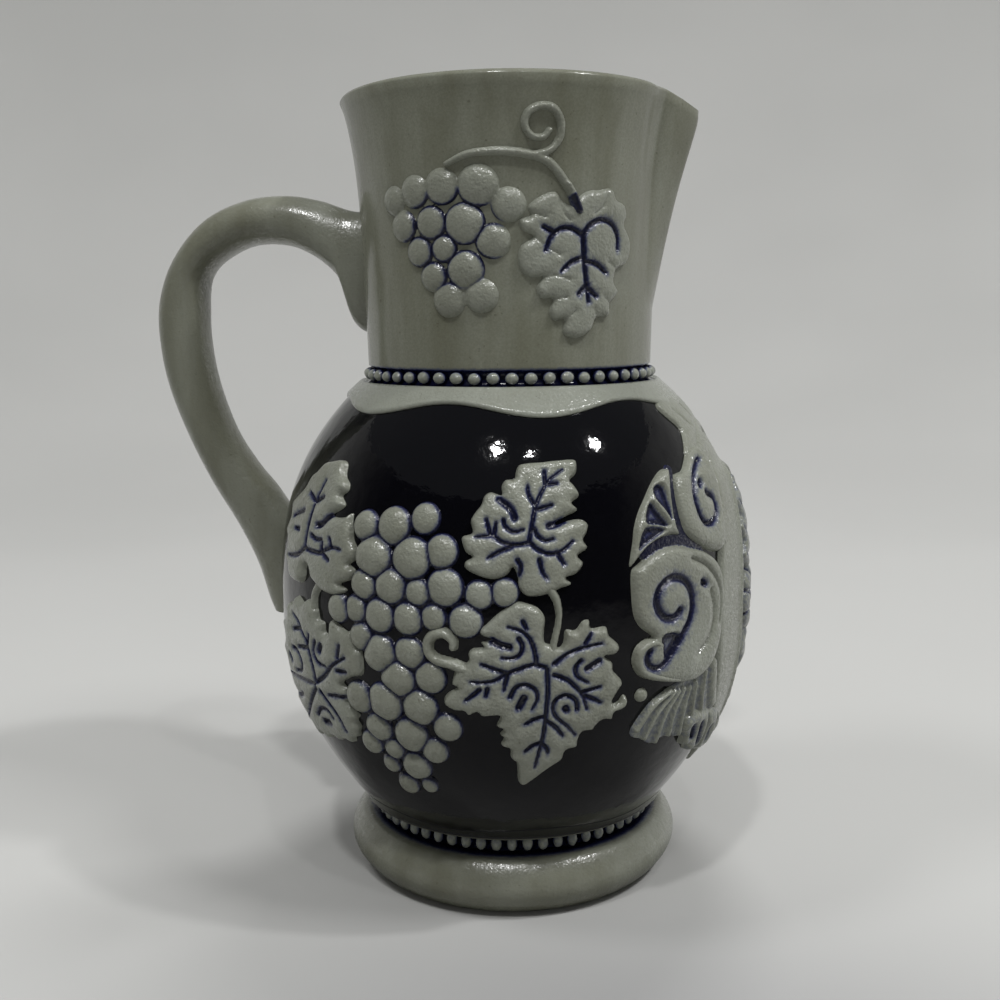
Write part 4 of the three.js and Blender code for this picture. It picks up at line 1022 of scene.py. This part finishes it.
def front_medallion():
    field = Field((-26.8, -41.7), (26.8, 41.7), 0.4)
    outer, inner = oval_inset(field, BAND_HALF), oval_inset(field, FIELD_HALF)
    rim = 0.55 * np.exp(-((inner + 0.5) / 0.5) ** 2)
    field.height = edge_rise(outer, BAND_HEIGHT) + np.where(
        outer > 0, rim - (BAND_HEIGHT - FIELD_HEIGHT) * smoothstep(0, 1, inner), 0)
    field.height *= np.where(outer > 0, 1 - 0.7 * smoothstep(29, 34, field.y), 1)
    field.paint = 0.35 * smoothstep(0.1, 0.9, inner)
    lay("medallion_band", "medallion_plaque", field, FRONT_PANEL, RIGHT)

    field = flower(Field((-9.5, -30.5), (9.5, 30.5)))
    for way in (1, -1):
        outline, *veins = [[(x, y * way) for x, y in line] for line in (SPRAY, *SPRAY_VEINS)]
        spray = moulded(Field((-9.5, -30.5), (9.5, 30.5)), outline, veins, puff=0.8)
        field.paint = np.where(spray.height > field.height, spray.paint, field.paint)
        field.height = np.maximum(field.height, spray.height)
    field.height = field.height + FIELD_HEIGHT - 1.2 * np.exp(-((field.y + 19) / 3) ** 2)
    field.paint = np.maximum(field.paint, 0.17)
    lay("medallion_flower", "medallion_rosette", field, FRONT_PANEL, RIGHT)

    ridges = [[(-21, 37), (-12, 41.2), (-6, 43.4), (0, 44.4), (6, 43.4), (12, 41.2), (21, 37)],
              [(0, 46), (0, 50.6)]]
    for way in (1, -1):
        ridges += [[(way * x, 46 - 0.016 * x ** 2), (way * 1.4 * x, 50 - 0.012 * x ** 2)] for x in (6, 13)]
    crest = moulded(Field(*box_of(CREST)), CREST, plain=ridges, thickness=0.55, puff=0.35, groove=0.2)
    lay("medallion_crest_leaf", "medallion_crest", crest, FRONT_PANEL, RIGHT)

    pits, folds = [], []
    for way in (1, -1):
        pits += [[(way * 5, -38.2), (way * 7.4, -38.6), (way * 7.6, -40)]]
        folds += [[(way * 2, -37.6), (way * 2.4, -41)]]
    pendant = moulded(Field(*box_of(PENDANT)), PENDANT, pits=pits, plain=folds, thickness=0.7, puff=0.5)
    lay("medallion_pendant_leaf", "medallion_pendant", pendant, FRONT_PANEL, RIGHT)


front_medallion()


# Scrollwork at the sides of the medallion: a large scroll, one above it, a latticed fan and a shell

LARGE_SCROLL = [
    (-51.7, 14.6), (-50, 16), (-46, 18.1), (-41, 18.7), (-36, 17.9), (-31, 16.4), (-27, 14), (-24.8, 10.6),
    (-24, 6), (-24.6, 1), (-26, -4), (-28.6, -8.4), (-33, -10.8), (-37, -11), (-41, -10.2), (-45, -9),
    (-48.4, -7.8), (-50.6, -6.3), (-51.8, -4), (-51.3, -1.5), (-49.5, 0), (-47.6, 0.3), (-47.2, 1),
    (-49.8, 3), (-51.4, 5.6),
    (-51.9, 10),
]
LARGE_SPIRAL = [
    (-40.4, 5.4), (-42, 4.2), (-44.4, 4.4), (-46, 6), (-46.7, 8), (-46, 10.3), (-44, 11.9), (-41.6, 12.4),
    (-38.9, 11.3), (-37.2, 9), (-36.8, 6), (-37.6, 3), (-39.5, 0.4), (-41.6, -2.2), (-44, -4.7),
    (-46.2, -5.8),
    (-48.3, -4.9), (-48.9, -3.2), (-48.1, -1.7),
]
LARGE_EYE = [(-33.4, 10.2), (-32.4, 9.6)]
SCROLL_TRIANGLE = [
    (-45, 0.5), (-43, 0.8), (-41.4, 0.6), (-40.4, -0.3), (-42, -2.4), (-44.2, -4), (-44.7, -2),
]
SCROLL_GROOVES = [
    [(-36, 15.5), (-31.8, 13.6), (-28.6, 10.8), (-26.6, 7.5), (-26.2, 4), (-26.8, 0.5)],
    [(-30.4, 8), (-29.2, 3.6), (-30, -0.5), (-32, -3), (-34.4, -4.6)],
]
FAN_CHANNEL = [(-35.8, 34.4), (-37.3, 30), (-37.9, 26), (-37.5, 21.6), (-36, 19.6), (-33, 17.3)]
SCROLL_CHANNEL = [(-48.4, 18), (-45, 19.4), (-41, 19.9), (-37, 19.3), (-34, 18.1), (-32, 17)]

UPPER_SCROLL = [
    (-37, 22), (-37.4, 26), (-36.9, 29.6), (-35.6, 32.8), (-33.4, 33.4), (-31, 33.8), (-28, 35.8),
    (-25, 37.8), (-21, 38.6), (-18, 34.6), (-18.4, 30), (-19.8, 24), (-21.6, 17.4), (-24.4, 15.2),
    (-28, 15.8), (-32.6, 17.8),
    (-35.6, 19.8),
]
UPPER_SPIRAL = [
    (-26.2, 28), (-24.2, 26.8), (-23.9, 24.2), (-25.4, 22.3), (-28, 21.6), (-30.2, 22.4), (-31.4, 24.9),
    (-31.2, 28.5), (-29, 32), (-25.8, 34.4), (-23.6, 35.2),
]
UPPER_EYE = [(-28.2, 29.8), (-27.4, 30.4)]

PEARL_CENTRE = (-49, -11.6)
PEARL_RADIUS = 1.5
PEARL_HEIGHT = 1.3

FAN = [
    (-52, 15.6), (-51.7, 17.4), (-50.7, 20.6), (-49.9, 23.4), (-48.2, 26.4), (-46, 28.9), (-43.4, 31.5),
    (-40.6, 33.6), (-38.2, 34.7), (-36.4, 34.5), (-36.9, 32.4), (-38.2, 29), (-38.8, 25.4), (-38.7, 22.4),
    (-38, 20.6), (-40.6, 20.9), (-44, 20.5), (-47.4, 19.2), (-50.2, 17),
]
FAN_WINDOWS = [
    [(-42.9, 30.8), (-41.6, 31.3), (-40.5, 30.8), (-40, 28), (-39.8, 23.8), (-41.6, 26.4), (-43.5, 29)],
    [(-45.2, 27.8), (-43.6, 25.8), (-41.6, 23), (-44, 23.5), (-47.2, 24.3)],
    [(-48, 22.6), (-44.8, 22.8), (-42.8, 22.1), (-45.4, 20.9), (-48.2, 19.7), (-49.8, 19)],
]

SHELL = [
    (-38, -10.4), (-43.5, -12.4), (-47.4, -15), (-50.2, -19.2), (-49.8, -21.4), (-47, -22.6), (-44, -24.4),
    (-40.8, -23.6), (-38.4, -23), (-35.6, -24.8), (-32.4, -24.6), (-30, -22.8), (-26.4, -24), (-22, -26.2),
    (-17.6, -28.4), (-15.6, -26), (-18, -20), (-20.6, -10), (-28, -8.6),
]
SHELL_RIBS = [
    ([(-41.4, -11.8), (-46, -14.4), (-49.4, -19.4)], (0.45, 0.75)),
    ([(-40.2, -12), (-44.6, -16.4), (-46.8, -21.8)], (0.45, 0.75)),
    ([(-39, -12.2), (-42, -16.8), (-43.2, -23.4)], (0.45, 0.75)),
    ([(-37.4, -12), (-39.4, -17), (-39.4, -22.6)], (0.45, 0.75)),
    ([(-35.6, -12), (-36.4, -17), (-35.6, -23.4)], (0.45, 0.75)),
    ([(-33.6, -11.6), (-33.4, -16), (-31.8, -22.8)], (0.5, 0.8)),
    ([(-30.4, -9.8), (-30.4, -14.6), (-29, -19.4)], (0.6, 0.8)),
    ([(-27.2, -9), (-25.6, -14.4), (-23.4, -19)], (1.6, 1.9)),
]
BRACKET = [
    (-34.6, -19.8), (-31, -18.8), (-27, -19.6), (-23, -20.6), (-19.4, -21.2), (-16.2, -23), (-14, -26),
    (-14.4, -29), (-16.8, -31.2), (-20, -32.2), (-23.6, -31.8), (-25.4, -30.4), (-28.6, -30.4),
    (-30.2, -28.2),
    (-32.8, -27.4), (-33.2, -24.8), (-35, -22.8),
]
BRACKET_PITS = [
    [(-28.2, -22.6), (-27.4, -25.6), (-26.2, -28.2)],
    [(-31.6, -22.4), (-30.6, -25.2)],
    [(-22, -25.6), (-21.2, -29)],
]
BRACKET_FOLDS = [[(-25, -21.6), (-24.4, -26), (-23.8, -30)], [(-19, -23), (-17.8, -26), (-17.4, -29.4)]]


def side_scrollwork():
    field = Field(*box_of(LARGE_SCROLL + FAN_CHANNEL))
    moulded(field, LARGE_SCROLL, [LARGE_SPIRAL], pits=[LARGE_EYE], plain=SCROLL_GROOVES,
            thickness=1.4, puff=1.1, reach=1.5, groove=0.7, width=1.9)
    recess(field, SCROLL_TRIANGLE, 0.5, 0.6)
    bed(field, SCROLL_CHANNEL, 1.3)
    bed(field, FAN_CHANNEL, 1.2)
    both_sides("scroll_large", "large_scroll", field, FRONT_PANEL)

    field = moulded(Field(*box_of(UPPER_SCROLL)), UPPER_SCROLL, [UPPER_SPIRAL], [UPPER_EYE],
                    thickness=1.4, puff=1.1, reach=1.5, groove=1.0, width=1.5)
    both_sides("scroll_upper", "upper_scroll", field, FRONT_PANEL)

    strap = [(-45.4, -1.2), (-46.6, -0.5), (-48.4, -0.6), (-50.2, -1.8), (-50.6, -4), (-49.6, -6),
             (-47.4, -7.3), (-44, -8.4), (-40, -9.4)]
    field = ribbon_relief(Field(*box_of(strap + [(-49, -13.4)], 2.2)), strap, (0.8, 1.0, 1.1, 1.0, 0.8), 1.9)
    inset = PEARL_RADIUS - np.hypot(field.x - PEARL_CENTRE[0], field.y - PEARL_CENTRE[1])
    dome = PEARL_HEIGHT * np.sqrt(np.clip(1 - (1 - inset / PEARL_RADIUS) ** 2, 0, 1))
    field.height = np.maximum(field.height, np.where(inset > 0, dome, SOFT_SLOPE * inset))
    both_sides("scroll_lower", "lower_scroll", field, FRONT_PANEL)

    field = moulded(Field(*box_of(FAN)), FAN, thickness=1.5, puff=0.3)
    for window in FAN_WINDOWS:
        recess(field, window)
    both_sides("fan_lattice", "lattice", field, FRONT_PANEL)

    low, high = box_of(SHELL + BRACKET)
    field = moulded(Field(low, high), SHELL, thickness=0.6, puff=0.0)
    base = np.maximum(field.height, 0)
    for line, half in SHELL_RIBS:
        ribbon_relief(field, line, half, 1.6)
    field.paint = 0.22 * (1 - smoothstep(0.3, 0.9, field.height - base))
    leaf = moulded(Field(low, high), BRACKET, pits=BRACKET_PITS, plain=BRACKET_FOLDS, thickness=1.7, puff=1.2,
                   groove=0.8)
    field.paint = np.where(leaf.height > field.height, np.maximum(leaf.paint, 0.12), field.paint)
    field.height = np.maximum(field.height, leaf.height)
    both_sides("shell_ribs", "shell", field, FRONT_PANEL)


side_scrollwork()


# Stage, light and camera

def stage():
    nodes = Nodes("backdrop_paper")
    paper = nodes.mix(nodes.ranged(nodes.noise(3, 2.0), 0.3, 0.7), srgb(170, 170, 168), srgb(174, 174, 172))
    # Painted shadow: the paper darkens to a grey patch in front of the foot, where the pitcher's shadow falls
    # forward.
    paper = nodes.mix(nodes.attribute("near"), paper, srgb(142, 142, 142))
    mirrored = nodes.add("ShaderNodeMath", operation="MULTIPLY")
    nodes.link(nodes.attribute("far"), mirrored.inputs[0])
    path = nodes.add("ShaderNodeLightPath")
    nodes.link(path.outputs["Is Glossy Ray"], mirrored.inputs[1])
    paper = nodes.mix(mirrored.outputs[0], paper, srgb(24, 24, 24))
    paper = nodes.mix(path.outputs["Is Diffuse Ray"], paper, srgb(165, 165, 162))
    nodes.link(paper, nodes.shader.inputs["Base Color"])
    nodes.shader.inputs["Roughness"].default_value = 0.9
    nodes.shader.inputs["Specular IOR Level"].default_value = 0.1
    outline = [(0.02 * k, 0.0) for k in range(26)]
    outline += [(0.5 + math.sin(a), 1 - math.cos(a)) for a in np.radians(np.arange(5, 91, 5))]
    outline += [(1.5, 1.2)]
    azimuths = turns_of(96)
    in_front = smoothstep(-0.45, 0.5, -np.sin(azimuths))
    count = len(azimuths)
    points = [(0.0, 0.0, -0.0001)]
    far = [0.3]
    for r, z in outline[1:]:
        points += [(r * math.cos(a), r * math.sin(a), z - 0.0001) for a in azimuths]
        far += list(in_front * (0.6 + 0.4 * smoothstep(0.12, 0.6, r)))
    faces = (grid_faces(len(outline) - 1, count)[:, ::-1] + 1).tolist()
    faces += [[0, 1 + k, 1 + (k + 1) % count] for k in range(count)]
    # near is a painted shadow: a soft blob in front of the foot that stands in for the pitcher's cast shadow.
    near = [math.exp(-((x - 0.05) / 0.1) ** 2 - ((y + 0.09) / 0.06) ** 2) for x, y, _ in points]
    floor = new_piece("paper_floor", points, faces, nodes.material, {"far": far, "near": near})


def lamp(name, azimuth, elevation, distance, size, power, seen=False):
    """A round lamp that points at the pitcher; azimuth 0 is in front, positive to the right."""
    a, e = math.radians(azimuth), math.radians(elevation)
    aim = Vector((0, 0, 0.08))
    spot = aim + distance * Vector((math.sin(a) * math.cos(e), -math.cos(a) * math.cos(e), math.sin(e)))
    data = bpy.data.lights.new(name, "AREA")
    data.shape = "DISK"
    data.size = size
    data.energy = power
    light = bpy.data.objects.new(name, data)
    light.matrix_world = Matrix.Translation(spot) @ (aim - spot).to_track_quat("-Z", "Y").to_matrix().to_4x4()
    light.visible_glossy = seen
    bpy.context.scene.collection.objects.link(light)


CAMERA_PLACE = (0.0459, -0.2748, 0.1327)
CAMERA_ANGLES = (10, 9.19, 0.538)
CAMERA_LENS = 42.14


def camera():
    """The photograph's camera, turned left, pitched down and rolled by its angles in degrees."""
    data = bpy.data.cameras.new("view")
    data.lens = CAMERA_LENS
    data.sensor_width = 36
    turn, pitch, roll = map(math.radians, CAMERA_ANGLES)
    right = Vector((math.cos(turn), math.sin(turn), 0))
    forward = Vector((-math.sin(turn) * math.cos(pitch), math.cos(turn) * math.cos(pitch), -math.sin(pitch)))
    up = right.cross(forward)
    tilted_right = math.cos(roll) * right - math.sin(roll) * up
    tilted_up = math.sin(roll) * right + math.cos(roll) * up
    aim = Matrix((tilted_right, tilted_up, -forward)).transposed()
    view = bpy.data.objects.new("view", data)
    view.matrix_world = Matrix.Translation(CAMERA_PLACE) @ aim.to_4x4()
    bpy.context.scene.collection.objects.link(view)
    bpy.context.scene.camera = view


def world():
    room = bpy.data.worlds.new("room")
    room.use_nodes = True
    background = room.node_tree.nodes["Background"]
    background.inputs["Color"].default_value = (0.95, 0.98, 1.0, 1)
    background.inputs["Strength"].default_value = 0.1
    bpy.context.scene.world = room


stage()
lamp("side_right", 68, 54, 1.5, 0.3, 6.5)
lamp("side_left", -62, 58, 1.5, 0.3, 5.0)
lamp("front_soft", 12, 64, 1.6, 0.8, 3.4)
lamp("top_soft", 172, 66, 1.6, 0.5, 11)
lamp("ceiling_front", -4, 60.6, 1.4, 0.08, 5.2, seen=True)
lamp("ceiling_middle", 26, 58.7, 1.4, 0.05, 1.4, seen=True)
lamp("ceiling_right", 79, 53.5, 1.4, 0.08, 5.6, seen=True)
camera()
world()

bpy.context.scene.view_settings.view_transform = "Standard"
